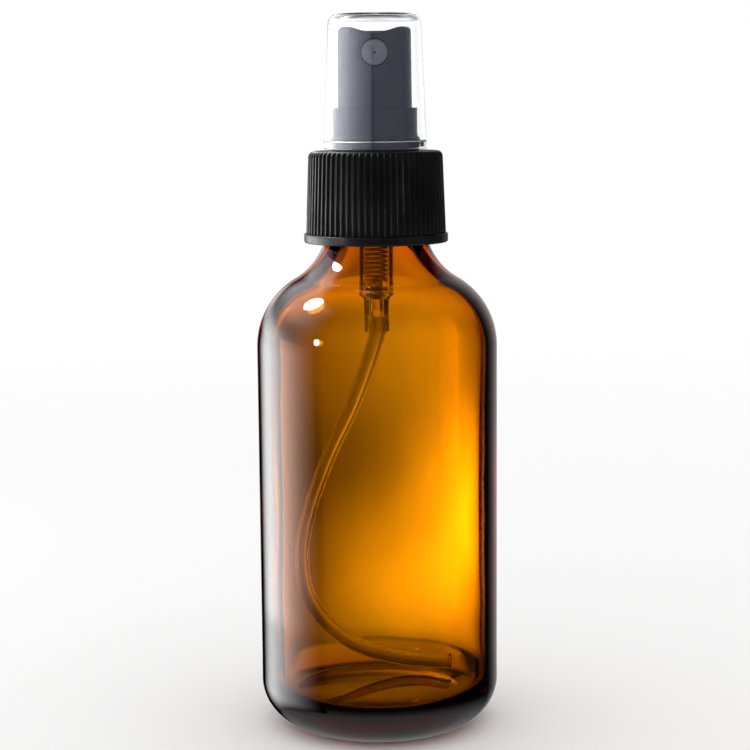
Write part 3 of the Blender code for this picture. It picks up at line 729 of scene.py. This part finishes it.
def build_stem_seal():
    """A wiper ring with a bevelled mouth."""
    low, high = BOX["stem_seal"]
    corners = [
        (STEM_RADIUS + 0.15 * MM, low.z, 0.08),
        (high.x, low.z, 0.12),
        (high.x, high.z, 0.12),
        (STEM_RADIUS + 0.8 * MM, high.z, 0.12),
    ]
    seal = lathe("stem_wiper_seal", filleted(corners))
    finish_piece(seal, "pump", "stem_seal", soft_plastic())


def build_stem():
    """A hollow rod with a stop shoulder and a cross port near its foot."""
    low, high = BOX["stem"]
    shoulder_z = 110.4 * MM
    corners = [
        (STEM_BORE, low.z, 0.05),
        (STEM_RADIUS, low.z, 0.1),
        (STEM_RADIUS, shoulder_z - 0.6 * MM, 0.1),
        (high.x, shoulder_z, 0.15),
        (high.x, shoulder_z + 1.2 * MM, 0.15),
        (STEM_RADIUS, shoulder_z + 1.6 * MM, 0.15),
        (STEM_RADIUS, high.z, 0.15),
        (STEM_BORE, high.z, 0.1),
    ]
    stem = lathe("hollow_stem", filleted(corners, 4), 64)
    port_z = 106.6 * MM
    port_radius = 0.35 * MM
    reach = 2 * STEM_RADIUS
    cut(stem, bar("port_tool", (0.0, -reach, port_z), (0.0, reach, port_z), port_radius, 20))
    finish_piece(stem, "stem", "stem", natural_plastic())


def build_piston():
    """A soft sleeve with a wiping lip at each end and a waist between."""
    low, high = BOX["piston"]
    inner = STEM_RADIUS + 0.2 * MM
    waist = high.x - 0.3 * MM
    corners = [
        (inner, low.z, 0.05),
        (high.x, low.z, 0.1),
        (high.x, low.z + 0.5 * MM, 0.1),
        (waist, low.z + 1.2 * MM, 0.2),
        (waist, high.z - 1.2 * MM, 0.2),
        (high.x, high.z - 0.3 * MM, 0.05),
        (high.x, high.z, 0.05),
        (inner, high.z, 0.1),
    ]
    piston = lathe("wiper_piston", filleted(corners, 4), 64)
    finish_piece(piston, "piston", "piston", soft_plastic())


def build_stem_plug():
    """Pin in the stem, rim that the spring pushes on, and a spigot that centres the spring."""
    low, high = BOX["stem_plug"]
    seat_z = high.z - 1.6 * MM
    rim_low = seat_z - 1.4 * MM
    pin = STEM_BORE - 0.2 * MM
    corners = [
        (0.0, low.z, 0.0),
        (1.4 * MM, low.z, 0.1),
        (1.5 * MM, rim_low, 0.05),
        (high.x, rim_low, 0.1),
        (high.x, seat_z - 0.6 * MM, 0.1),
        (1.7 * MM, seat_z, 0.1),
        (pin, seat_z, 0.1),
        (pin, high.z, 0.15),
        (0.0, high.z, 0.0),
    ]
    plug = lathe("stem_end_plug", filleted(corners, 4, closed=False), 64, closed=False)
    finish_piece(plug, "stem", "stem_plug", natural_plastic())


def build_spring():
    """A coil whose two end turns lie flat."""
    low, high = BOX["return_spring"]
    per_turn = 28
    steps = int(SPRING_TURNS * per_turn)
    span = high.z - low.z - 2 * SPRING_WIRE
    flat = 2 * SPRING_WIRE + 0.04 * MM
    centres = []
    for i in range(steps + 1):
        turn = i / per_turn
        z = flat + (turn - 1.0) / (SPRING_TURNS - 2.0) * (span - 2 * flat)
        if turn < 1.0:
            z = flat * turn
        if turn > SPRING_TURNS - 1.0:
            z = span - flat * (SPRING_TURNS - turn)
        a = 2 * pi * turn
        centres.append(Vector((SPRING_RADIUS * cos(a), SPRING_RADIUS * sin(a), low.z + SPRING_WIRE + z)))
    spring = sweep("coil_spring", centres, (SPRING_WIRE,), 12, side=(0.0, 0.0, 1.0))
    drawn_wire = steel("spring_steel", size=0.3 * MM, depth=0.002 * MM, rough=(0.2, 0.34))
    finish_piece(spring, "pump", "return_spring", drawn_wire)
    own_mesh(spring)


def build_ball():
    """The steel ball on the inlet's seat."""
    low, high = BOX["inlet_ball"]
    middle = (low.z + high.z) / 2
    radius = (high.z - low.z) / 2
    outline = [(0.0, low.z)] + arc((0.0, middle), radius, -90, 90, 24)[1:-1] + [(0.0, high.z)]
    ball = lathe("steel_inlet_ball", outline, 48, closed=False)
    polished = steel("ball_steel", size=0.2 * MM, depth=0.0005 * MM, rough=(0.08, 0.16))
    finish_piece(ball, "inlet_ball", "inlet_ball", polished)


# The dip tube's own route in millimetres, from the socket down, round to the left and back to the right.
TUBE_ROUTE = (
    (0.0, 0.0, 83.3),
    (0.0, 0.0, 79.5),
    (-4.6, 0.8, 66.5),
    (-9.8, 2.0, 55.0),
    (-13.9, 3.2, 44.5),
    (-16.2, 4.6, 35.0),
    (-15.6, 6.2, 26.0),
    (-11.6, 8.2, 18.4),
    (-5.4, 10.2, 12.9),
    (2.0, 11.8, 9.8),
    (9.2, 12.2, 8.6),
    (15.4, 10.2, 8.9),
)


def smooth_route(points, per_span):
    """Points on one smooth curve through the route's own points."""
    dense = []
    padded = [2 * points[0] - points[1]] + points + [2 * points[-1] - points[-2]]
    for a, b, c, d in zip(padded, padded[1:], padded[2:], padded[3:]):
        for k in range(per_span):
            t = k / per_span
            bend = (2 * a - 5 * b + 4 * c - d) * t**2 + (3 * b - a - 3 * c + d) * t**3
            dense.append(0.5 * (2 * b + (c - a) * t + bend))
    dense.append(points[-1])
    return dense


def build_dip_tube():
    """A hollow tube along its route, open at both ends."""
    centres = smooth_route([Vector(point) * MM for point in TUBE_ROUTE], 14)
    tube = sweep("curved_dip_tube", centres, (TUBE_RADIUS, TUBE_BORE), 32)
    finish_piece(tube, "pump", "dip_tube", tube_plastic())


def build_collar():
    """Outer wall with the overcap's step, floor on the closure, and a hub that grips the turret."""
    low, high = BOX["collar"]
    guide = STEM_RADIUS + 0.4 * MM
    turret_clear = TURRET_RADIUS + FINE_GAP
    plug_radius = TURRET_BORE - FINE_GAP
    foot = 8.1 * MM
    step = high.x - 0.1 * MM
    wall = 8.35 * MM
    bore = 7.65 * MM
    step_low = low.z + 1.4 * MM
    step_top = low.z + 4.5 * MM
    floor_z = low.z + 1.1 * MM
    hub = 6.1 * MM
    hub_top = low.z + 4.0 * MM
    plug_low = SEAL_SEAT_Z + 1.75 * MM
    turret_gap_z = TURRET_TOP_Z + FINE_GAP
    corners = [
        (turret_clear, low.z, 0.1),
        (foot, low.z, 0.15),
        (foot, step_low, 0.1),
        (step, step_low, 0.2),
        (step, step_top - 1.3 * MM, 0.3),
        (high.x, step_top - 0.9 * MM, 0.15),
        (high.x, step_top - 0.6 * MM, 0.15),
        (wall, step_top, 0.2),
        (wall, high.z, 0.16),
        (bore, high.z, 0.12),
        (bore, floor_z, 0.2),
        (hub, floor_z, 0.2),
        (hub, hub_top, 0.2),
        (guide, hub_top, 0.15),
        (guide, plug_low, 0.1),
        (plug_radius, plug_low, 0.1),
        (plug_radius, turret_gap_z, 0.1),
        (turret_clear, turret_gap_z, 0.1),
    ]
    collar = lathe("pump_collar", filleted(corners, 5), 160)
    finish_piece(collar, "pump", "collar", pump_plastic())


# ---- actuator and nozzle

DISH_DEPTH = 0.9 * MM
DISH_FLAT = 1.5 * MM
DISH_EDGE = 5.4 * MM
DISH_REACH = 2.6 * MM
ACTUATOR_ROUNDING = 0.9 * MM
ACTUATOR_TOP_RADIUS = 7.2 * MM
NOZZLE_Z = 135.4 * MM
NOZZLE_RADIUS = 2.5 * MM
NOZZLE_FACE_Y = -6.75 * MM
NOZZLE_BACK_Y = -4.3 * MM
NOZZLE_POST_RADIUS = 1.1 * MM
NOZZLE_WALL = 0.55 * MM
ORIFICE_RADIUS = 0.2 * MM


def dished(r, z, angle):
    """Lowers the top into a finger dish that runs front to back, between two rounded ears."""
    top = BOX["actuator"][1].z
    above = clamp((z - top + DISH_REACH) / DISH_REACH)
    dip = DISH_DEPTH * (1 - ease((abs(r * cos(angle)) - DISH_FLAT) / (DISH_EDGE - DISH_FLAT)))
    return r, z - dip * above


def build_actuator():
    """Hollow button with a boss for the stem, a nozzle block and pocket, and the channel between them."""
    low, high = BOX["actuator"]
    foot = high.x
    bore = 6.4 * MM
    roof = 137.2 * MM
    boss = 3.0 * MM
    boss_low = low.z + 5.0 * MM
    socket = STEM_RADIUS + 0.2 * MM
    socket_roof = 134.3 * MM
    rim = (ACTUATOR_TOP_RADIUS - ACTUATOR_ROUNDING, high.z - ACTUATOR_ROUNDING)
    outline = [(0.0, high.z - DISH_DEPTH)]
    outline += run((0.0, high.z), (rim[0], high.z), 22)
    outline += arc(rim, ACTUATOR_ROUNDING, 90, 0, 10)
    outline += run((ACTUATOR_TOP_RADIUS, rim[1]), (foot, low.z + 0.6 * MM), 20)
    corners = [
        (foot, low.z + 0.6 * MM, 0.0),
        (foot, low.z, 0.2),
        (bore, low.z, 0.2),
        (bore, roof, 0.3),
        (boss, roof, 0.3),
        (boss, boss_low, 0.2),
        (socket, boss_low, 0.15),
        (socket, socket_roof, 0.1),
        (0.0, socket_roof, 0.0),
    ]
    outline += filleted(corners, closed=False, steps=4)
    actuator = skin("finger_actuator", turned(outline, even_angles(144), dished), closed=False)
    smooth(actuator, angle=35)
    block_radius = 3.5 * MM
    block = bar("block_tool", (0.0, -bore - FINE_GAP, NOZZLE_Z), (0.0, 0.0, NOZZLE_Z), block_radius, 48)
    cut(actuator, block, "UNION")
    cut(actuator, nozzle_pocket())
    channel_z = NOZZLE_Z - (NOZZLE_POST_RADIUS + NOZZLE_RADIUS) / 2
    channel_radius = 0.5 * MM
    channel = bar("channel_tool", (0.0, NOZZLE_BACK_Y, channel_z), (0.0, 0.0, channel_z), channel_radius, 20)
    cut(actuator, channel)
    cut(actuator, bar("socket_tool", (0.0, 0.0, boss_low - MM), (0.0, 0.0, socket_roof), socket, 144))
    finish_piece(actuator, "actuator", "actuator", pump_plastic())


def nozzle_pocket():
    """A round pocket with a rounded mouth that leaves a post standing in its middle."""
    wide = NOZZLE_RADIUS + 0.2 * MM
    depth = NOZZLE_BACK_Y - NOZZLE_FACE_Y + FINE_GAP
    post_top = NOZZLE_WALL + 0.5 * MM
    wall_y = -ACTUATOR_TOP_RADIUS - NOZZLE_FACE_Y
    outside_y = -2.0 * MM
    corners = [
        (0.0, outside_y, 0.0),
        (wide + 0.6 * MM, outside_y, 0.0),
        (wide + 0.25 * MM, wall_y - 0.1 * MM, 0.0),
        (wide, wall_y + 0.4 * MM, 0.2),
        (wide, depth, 0.1),
        (NOZZLE_POST_RADIUS, depth, 0.1),
        (NOZZLE_POST_RADIUS, post_top, 0.1),
        (0.0, post_top, 0.0),
    ]
    pocket = lathe("pocket_tool", filleted(corners, 3, closed=False), 72, closed=False)
    about_nozzle(pocket, NOZZLE_FACE_Y, NOZZLE_Z)
    return pocket


def build_nozzle_insert():
    """A small cup with a shallow ring on its face and the spray orifice in the middle."""
    inner = NOZZLE_POST_RADIUS + FINE_GAP
    depth = NOZZLE_BACK_Y - NOZZLE_FACE_Y
    recess = 0.08 * MM
    corners = [
        (ORIFICE_RADIUS, 0.3 * MM, 0.02),
        (2.2 * ORIFICE_RADIUS, recess, 0.04),
        (0.75 * MM, recess, 0.03),
        (0.85 * MM, 0.0, 0.03),
        (NOZZLE_RADIUS, 0.0, 0.15),
        (NOZZLE_RADIUS, depth, 0.15),
        (inner, depth, 0.1),
        (inner, NOZZLE_WALL, 0.1),
        (ORIFICE_RADIUS, NOZZLE_WALL, 0.03),
    ]
    insert = lathe("spray_nozzle_insert", filleted(corners, 4))
    about_nozzle(insert, NOZZLE_FACE_Y, NOZZLE_Z)
    smooth(insert)
    finish_piece(insert, "actuator", "nozzle_insert", insert_plastic())


# ---- overcap

CAP_TOP_RADIUS = 9.25 * MM
CAP_ROUNDING = 1.9 * MM
CAP_WALL = 0.75 * MM
CAP_RIM_BORE = 9.05 * MM
CAP_RIM_HEIGHT = 1.6 * MM
GATE_RADIUS = 1.2 * MM
GATE_DEPTH = 0.1 * MM


def build_overcap():
    """Clear tapered cap with a thicker rim, a rounded crown and the mark of its moulding gate."""
    low, high = BOX["overcap"]
    foot = high.x
    edge = (CAP_TOP_RADIUS - CAP_ROUNDING, high.z - CAP_ROUNDING)
    slope = (foot - CAP_TOP_RADIUS) / (edge[1] - low.z)
    above_rim = foot - CAP_WALL - slope * CAP_RIM_HEIGHT
    crown = high.z - 0.1 * MM
    top_taper = 0.4 * MM
    outline = [
        (0.0, crown - GATE_DEPTH),
        (0.8 * GATE_RADIUS, crown - GATE_DEPTH),
        (GATE_RADIUS, crown - 0.02 * MM),
        (1.2 * GATE_RADIUS, crown),
    ]
    outline += run((1.2 * GATE_RADIUS, crown), (edge[0], high.z), 4)
    outline += arc(edge, CAP_ROUNDING, 90, 0, 14)
    outline += run((CAP_TOP_RADIUS, edge[1]), (foot, low.z + 0.5 * MM), 8)
    corners = [
        (foot, low.z + 0.5 * MM, 0.0),
        (foot, low.z, 0.25),
        (CAP_RIM_BORE, low.z, 0.2),
        (CAP_RIM_BORE, low.z + CAP_RIM_HEIGHT - 0.3 * MM, 0.12),
        (above_rim, low.z + CAP_RIM_HEIGHT, 0.12),
        (CAP_TOP_RADIUS - CAP_WALL + slope * top_taper, edge[1] - top_taper, 0.0),
    ]
    outline += filleted(corners, closed=False)
    outline += arc(edge, CAP_ROUNDING - CAP_WALL, 0, 90, 10)
    outline += run((edge[0], high.z - CAP_WALL), (0.0, high.z - CAP_WALL), 4)
    outline.append((0.0, high.z - CAP_WALL))
    overcap = skin("clear_overcap", turned(outline, even_angles(160)), closed=False)
    smooth(overcap, angle=50)
    finish_piece(overcap, "overcap", "overcap", clear_plastic())


# ---- stage, light and camera

# Compass angles are in degrees round the bottle: 0 behind it, 90 on its right, 180 in front of it.

CARD_RADIUS = 0.3
BACKDROP_FOOT = -0.3
BACKDROP_EDGE = 24.2
BACKDROP_BASE = 0.09
BACKDROP_TOP = 1.05
# Soft patches of light on the backdrop: (compass angle, height), (their widths), strength.
BACKDROP_PATCHES = (
    ((15.5, -0.021), (8.6, 0.034), 5.3),
    ((5.0, -0.048), (10.0, 0.026), 1.6),
    ((10.0, 0.05), (12.0, 0.04), 1.05),
    ((-4.0, 0.045), (10.0, 0.03), 0.2),
)
CAP_GLOW_FOOT = 0.11
CAP_GLOW_TOP = 0.45
FLAG_GAP = 0.1 * MM
FLAG_OUTER = 46.0 * MM
FLAG_Y = 3.0 * MM
FLAG_TOP = 100.0 * MM
SHADE_RADIUS = 62.0 * MM
SHADE_DROP = 0.03 * MM
SHADE_LIGHT = 0.5
SOFTBOX_RADIUS = 0.35
SOFTBOX_SIDE = 6.2
SOFTBOX_TOP = 1.8
SOFTBOX_RIM = 1.2
CAP_CARD_RADIUS = 13.2 * MM
CAP_CARD_LOW = 116.6 * MM
CAP_CARD_HIGH = 146.0 * MM
FLOOR_RADIUS = 1.2
FLOOR_DROP = 0.05 * MM
ROOM_LIGHT = 0.008
CAMERA_LENS = 92.4
CAMERA_PLACE = (0.0, -0.38475, 0.1257)
CAMERA_TIP = 8.05
CAMERA_ROLL = 0.483
GLASS_BOUNCES = 28
OTHER_BOUNCES = 12


def maths(tree, operation, first, second=None):
    """One Math node on sockets or numbers."""
    made = node(tree, "ShaderNodeMath", operation=operation)
    for slot, value in zip(made.inputs, (first, second)):
        if value is None:
            continue
        if isinstance(value, (int, float)):
            slot.default_value = value
        else:
            tree.links.new(value, slot)
    return made.outputs[0]


def joined(tree, operation, values):
    """Math nodes that join any number of sockets and numbers."""
    result = values[0]
    for value in values[1:]:
        result = maths(tree, operation, result, value)
    return result


def product(tree, *values):
    return joined(tree, "MULTIPLY", values)


def total(tree, *values):
    return joined(tree, "ADD", values)


def highest(tree, *values):
    return joined(tree, "MAXIMUM", values)


def ramp(tree, value, start, end):
    """Smooth step of a socket from 0 at start to 1 at end."""
    made = node(tree, "ShaderNodeMapRange", interpolation_type="SMOOTHSTEP")
    made.inputs["From Min"].default_value = start
    made.inputs["From Max"].default_value = end
    tree.links.new(value, made.inputs["Value"])
    return made.outputs["Result"]


def blob(tree, x, z, centre, width, strength):
    """A soft round patch of light."""
    dx = maths(tree, "DIVIDE", maths(tree, "SUBTRACT", x, centre[0]), width[0])
    dz = maths(tree, "DIVIDE", maths(tree, "SUBTRACT", z, centre[1]), width[1])
    away = total(tree, product(tree, dx, dx), product(tree, dz, dz))
    return product(tree, maths(tree, "EXPONENT", product(tree, away, -1.0)), strength)


def axes(tree, vector):
    parts = node(tree, "ShaderNodeSeparateXYZ")
    tree.links.new(vector, parts.inputs[0])
    return parts.outputs


def card_axes(tree):
    """Compass angle and height of a point on a card."""
    x, y, z = axes(tree, node(tree, "ShaderNodeNewGeometry").outputs["Position"])
    return product(tree, maths(tree, "ARCTAN2", x, y), 180 / pi), z


def from_middle(tree):
    """A disc's own coordinates and a point's distance from its middle."""
    place = node(tree, "ShaderNodeTexCoord")
    length = node(tree, "ShaderNodeVectorMath", operation="LENGTH")
    tree.links.new(place.outputs["Object"], length.inputs[0])
    return place.outputs["Object"], length.outputs["Value"]


def emitter(name, strength=1.0):
    """A plain white glow, whose strength can be linked afterwards."""
    made = bpy.data.materials.new(name)
    made.use_nodes = True
    tree = made.node_tree
    tree.nodes.remove(tree.nodes["Principled BSDF"])
    glow = node(tree, "ShaderNodeEmission")
    glow.inputs["Color"].default_value = (1.0, 1.0, 1.0, 1.0)
    glow.inputs["Strength"].default_value = strength
    tree.links.new(glow.outputs["Emission"], tree.nodes["Material Output"].inputs["Surface"])
    return made, tree, glow


def set_up(thing, material):
    """Gives a light or a card its material, and hides it from the camera and from shadows."""
    thing.data.materials.append(material)
    thing.visible_camera = False
    thing.visible_shadow = False


def through_glass_only(card):
    """Limits a card to what is seen through clear pieces."""
    card.visible_diffuse = False
    card.visible_glossy = False


def flat_faced(name, points, faces, material):
    """A card made of flat faces."""
    mesh = bpy.data.meshes.new(name)
    mesh.from_pydata(points, [], faces)
    card = new_object(name, mesh)
    set_up(card, material)
    return card


def curved_card(name, radius, first, last, low, high, material, steps=48):
    """A card on a cylinder round the bottle, from one compass angle to another."""
    points = []
    for i in range(steps + 1):
        a = radians(first + (last - first) * i / steps)
        points += [(radius * sin(a), radius * cos(a), z) for z in (low, high)]
    faces = [(k, k + 2, k + 3, k + 1) for k in range(0, 2 * steps, 2)]
    return flat_faced(name, points, faces, material)


def disc(name, radius, vertices, drop):
    """A flat disc just under the bottle."""
    bpy.ops.mesh.primitive_circle_add(vertices=vertices, radius=radius, fill_type="TRIFAN")
    made = bpy.context.object
    made.name = name
    made.location = (0.0, 0.0, -drop)
    return made


def build_backdrop():
    """What shows through the glass: a dim sheet with a bright patch low on the right, dark past its edges."""
    material, tree, glow = emitter("backdrop_glow")
    compass, height = card_axes(tree)
    light = total(tree, product(tree, ramp(tree, height, 0.06, CAP_GLOW_FOOT), BACKDROP_TOP), BACKDROP_BASE)
    for centre, width, strength in BACKDROP_PATCHES:
        light = total(tree, light, blob(tree, compass, height, centre, width, strength))
    away = maths(tree, "ABSOLUTE", compass)
    light = product(tree, light, ramp(tree, away, BACKDROP_EDGE + 0.5, BACKDROP_EDGE - 0.5))
    tree.links.new(light, glow.inputs["Strength"])
    through_glass_only(curved_card("backdrop", CARD_RADIUS, -70, 70, BACKDROP_FOOT, CAP_GLOW_FOOT, material))


def build_cap_surround():
    """White behind the clear cap, dimmer to the left, far to the right and higher up."""
    material, tree, glow = emitter("cap_surround_glow")
    compass, height = card_axes(tree)
    across = product(tree, ramp(tree, compass, -18.0, -10.0), ramp(tree, compass, 60.0, 35.0))
    light = product(tree, across, ramp(tree, height, 0.24, 0.18), 0.85)
    tree.links.new(total(tree, light, 0.45), glow.inputs["Strength"])
    card = curved_card("cap_surround", CARD_RADIUS, -110, 110, CAP_GLOW_FOOT, CAP_GLOW_TOP, material)
    through_glass_only(card)


def build_side_flags():
    """Black cards cut to the bottle's outline on both sides, which draw the dark edges down the glass."""
    material, _, _ = emitter("flag_black", 0.0)
    body = BOX["bottle"][1].x
    outline = arc((body - HEEL_RADIUS, HEEL_RADIUS), HEEL_RADIUS, -90, 0, 20)
    outline += shoulder_and_neck(body, SHOULDER_RADIUS, FLARE_RADIUS, NECK_RADIUS, 22)
    outline = [(FLAG_OUTER, 0.0)] + outline + [(NECK_RADIUS, FLAG_TOP), (FLAG_OUTER, FLAG_TOP)]
    for side, name in ((-1, "left_flag"), (1, "right_flag")):
        points = [(side * (r + FLAG_GAP), FLAG_Y, z) for r, z in outline]
        through_glass_only(flat_faced(name, points, [range(len(points))], material))


def build_under_shade():
    """The floor close round the bottle as it shows through the base, with painted shadow: black under it, and
    a dim painted floor light beside it.
    """
    material, tree, glow = emitter("under_shade_glow")
    place, away = from_middle(tree)
    across = maths(tree, "ABSOLUTE", axes(tree, place)["X"])
    # Painted shade: the floor light is kept to a strip through the middle, and the floor to either side stays
    # black.
    middle = ramp(tree, across, 23 * MM, 19 * MM)
    light = product(tree, ramp(tree, away, 26 * MM, 30 * MM), SHADE_LIGHT, middle)
    tree.links.new(light, glow.inputs["Strength"])
    clear = node(tree, "ShaderNodeBsdfTransparent")
    mixed = node(tree, "ShaderNodeMixShader")
    tree.links.new(ramp(tree, away, 42 * MM, 60 * MM), mixed.inputs["Fac"])
    tree.links.new(glow.outputs["Emission"], mixed.inputs[1])
    tree.links.new(clear.outputs["BSDF"], mixed.inputs[2])
    tree.links.new(mixed.outputs["Shader"], tree.nodes["Material Output"].inputs["Surface"])
    shade = disc("under_shade", SHADE_RADIUS, 96, SHADE_DROP)
    set_up(shade, material)
    through_glass_only(shade)


def build_left_softbox():
    """The tall softbox on the left: a strong side, a weaker top, and a band level with the shoulder's rim."""
    material, tree, glow = emitter("left_softbox_glow")
    compass, height = card_axes(tree)
    across = product(tree, ramp(tree, compass, -125.0, -58.0), ramp(tree, compass, -29.0, -60.0))
    upward = product(tree, ramp(tree, height, 0.23, 0.04), ramp(tree, height, -0.25, -0.1))
    foot = total(tree, product(tree, ramp(tree, height, -0.074, -0.064), 0.3), 0.7)
    side = product(tree, across, upward, foot, SOFTBOX_SIDE)
    across = product(tree, ramp(tree, compass, -125.0, -85.0), ramp(tree, compass, -16.0, -30.0))
    upward = product(tree, ramp(tree, height, 0.12, 0.3), ramp(tree, height, 0.66, 0.5))
    top = product(tree, across, upward, SOFTBOX_TOP)
    upward = product(tree, ramp(tree, height, 0.07, 0.11), ramp(tree, height, 0.18, 0.13))
    rim = product(tree, ramp(tree, compass, -85.0, -60.0), upward, SOFTBOX_RIM)
    tree.links.new(total(tree, side, top, rim), glow.inputs["Strength"])
    card = curved_card("left_softbox", SOFTBOX_RADIUS, -125, -16, -0.22, 0.66, material, steps=96)
    card.visible_diffuse = False


def build_cap_card():
    """A white card that stands on the closure. It bends round the clear cap's left front and veils it."""
    material, tree, glow = emitter("cap_card_glow")
    compass, _ = card_axes(tree)
    share = maths(tree, "DIVIDE", total(tree, compass, 180.0), 50.0)
    light = maths(tree, "MINIMUM", total(tree, product(tree, share, share, 2.4), 0.65), 3.0)
    light = product(tree, light, ramp(tree, compass, -178.0, -172.0))
    tree.links.new(light, glow.inputs["Strength"])
    card = curved_card("cap_card", CAP_CARD_RADIUS, -178, -72, CAP_CARD_LOW, CAP_CARD_HIGH, material)
    card.visible_diffuse = False


def lamp_disc(name, target, compass, rise, distance, size, strength):
    """A round lamp aimed at a spot on the glass, which sees it at a compass angle and a rise in degrees."""
    material, _, _ = emitter(name + "_glow", strength)
    turn = radians(compass)
    tilt = radians(rise)
    away = Vector((sin(turn) * cos(tilt), cos(turn) * cos(tilt), sin(tilt)))
    bpy.ops.mesh.primitive_circle_add(vertices=48, radius=1.0, fill_type="NGON")
    lamp = bpy.context.object
    lamp.name = name
    lamp.location = Vector(target) + distance * away
    lamp.scale = (*size, 1.0)
    lamp.rotation_mode = "QUATERNION"
    lamp.rotation_quaternion = away.to_track_quat("Z", "Y")
    lamp.visible_diffuse = False
    set_up(lamp, material)


def build_lamps():
    """Two small lamps on the left, for the highlights on the shoulder."""
    high_spot = (-0.0119, -0.0165, 0.0875)
    low_spot = (-0.0117, -0.0207, 0.0804)
    lamp_disc("high_lamp", high_spot, -74, 48, distance=0.3, size=(0.042, 0.044), strength=25.0)
    lamp_disc("low_lamp", low_spot, -119.3, 13.9, distance=0.1, size=(0.0066, 0.0078), strength=22.0)


def build_floor():
    """A pale disc that fades into the white surroundings."""
    floor = disc("floor", FLOOR_RADIUS, 128, FLOOR_DROP)
    pale = (0.97, 0.97, 0.97, 1.0)
    material, tree, shader = principled("floor_paper", Base_Color=pale, Roughness=0.9)
    _, away = from_middle(tree)
    tree.links.new(spread(tree, away, 1.0, 0.0, from_low=0.1, from_high=0.6), shader.inputs["Alpha"])
    floor.data.materials.append(material)
    floor.visible_transmission = False
    floor.visible_glossy = False


def build_world():
    """White to the eye and to matt surfaces, a dim room otherwise.

    Through glass it is light in front and below, and in a mirror it is light behind and below.
    """
    world = bpy.data.worlds.new("studio")
    bpy.context.scene.world = world
    world.use_nodes = True
    world.cycles.sampling_method = "NONE"
    tree = world.node_tree
    ground = tree.nodes["Background"]
    path = node(tree, "ShaderNodeLightPath").outputs
    toward = axes(tree, node(tree, "ShaderNodeTexCoord").outputs["Generated"])
    bright = highest(tree, path["Is Camera Ray"], path["Is Diffuse Ray"])
    front = total(tree, product(tree, ramp(tree, toward["Y"], 0.3, -0.4), 0.6), 0.05)
    floor = product(tree, ramp(tree, toward["Z"], -0.1, -0.4), 0.6)
    through = product(tree, highest(tree, front, floor), path["Is Transmission Ray"])
    below = product(tree, ramp(tree, toward["Z"], -0.35, -0.75), 0.5)
    behind = product(tree, ramp(tree, toward["Y"], 0.6, 1.0), 0.45)
    not_through = maths(tree, "SUBTRACT", 1.0, path["Is Transmission Ray"])
    mirrored = product(tree, highest(tree, below, behind), not_through, path["Is Glossy Ray"])
    level = highest(tree, bright, through, mirrored, ROOM_LIGHT)
    tree.links.new(level, ground.inputs["Strength"])
    ground.inputs["Color"].default_value = (1.0, 1.0, 1.0, 1.0)


def build_camera():
    """The product shot: a long lens a little above the cap, tipped down at the bottle."""
    lens = bpy.data.cameras.new("product_camera")
    lens.lens = CAMERA_LENS
    lens.sensor_width = 36.0
    lens.clip_start = 0.01
    camera = new_object("product_camera", lens)
    camera.location = CAMERA_PLACE
    camera.rotation_euler = (radians(90 - CAMERA_TIP), radians(CAMERA_ROLL), 0.0)
    bpy.context.scene.camera = camera


def build_render_look():
    """Plain tones, and enough bounces for nested clear pieces."""
    scene = bpy.context.scene
    scene.view_settings.view_transform = "Standard"
    scene.view_settings.look = "None"
    scene.cycles.max_bounces = GLASS_BOUNCES
    scene.cycles.transmission_bounces = GLASS_BOUNCES
    scene.cycles.glossy_bounces = OTHER_BOUNCES
    scene.cycles.transparent_max_bounces = OTHER_BOUNCES


def main():
    build_camera()
    build_bottle()
    build_closure()
    build_gasket()
    build_housing()
    build_stem_seal()
    build_stem()
    build_piston()
    build_stem_plug()
    build_spring()
    build_ball()
    build_dip_tube()
    build_collar()
    build_actuator()
    build_nozzle_insert()
    build_overcap()
    build_backdrop()
    build_cap_surround()
    build_side_flags()
    build_under_shade()
    build_left_softbox()
    build_cap_card()
    build_lamps()
    build_floor()
    build_world()
    build_render_look()


main()
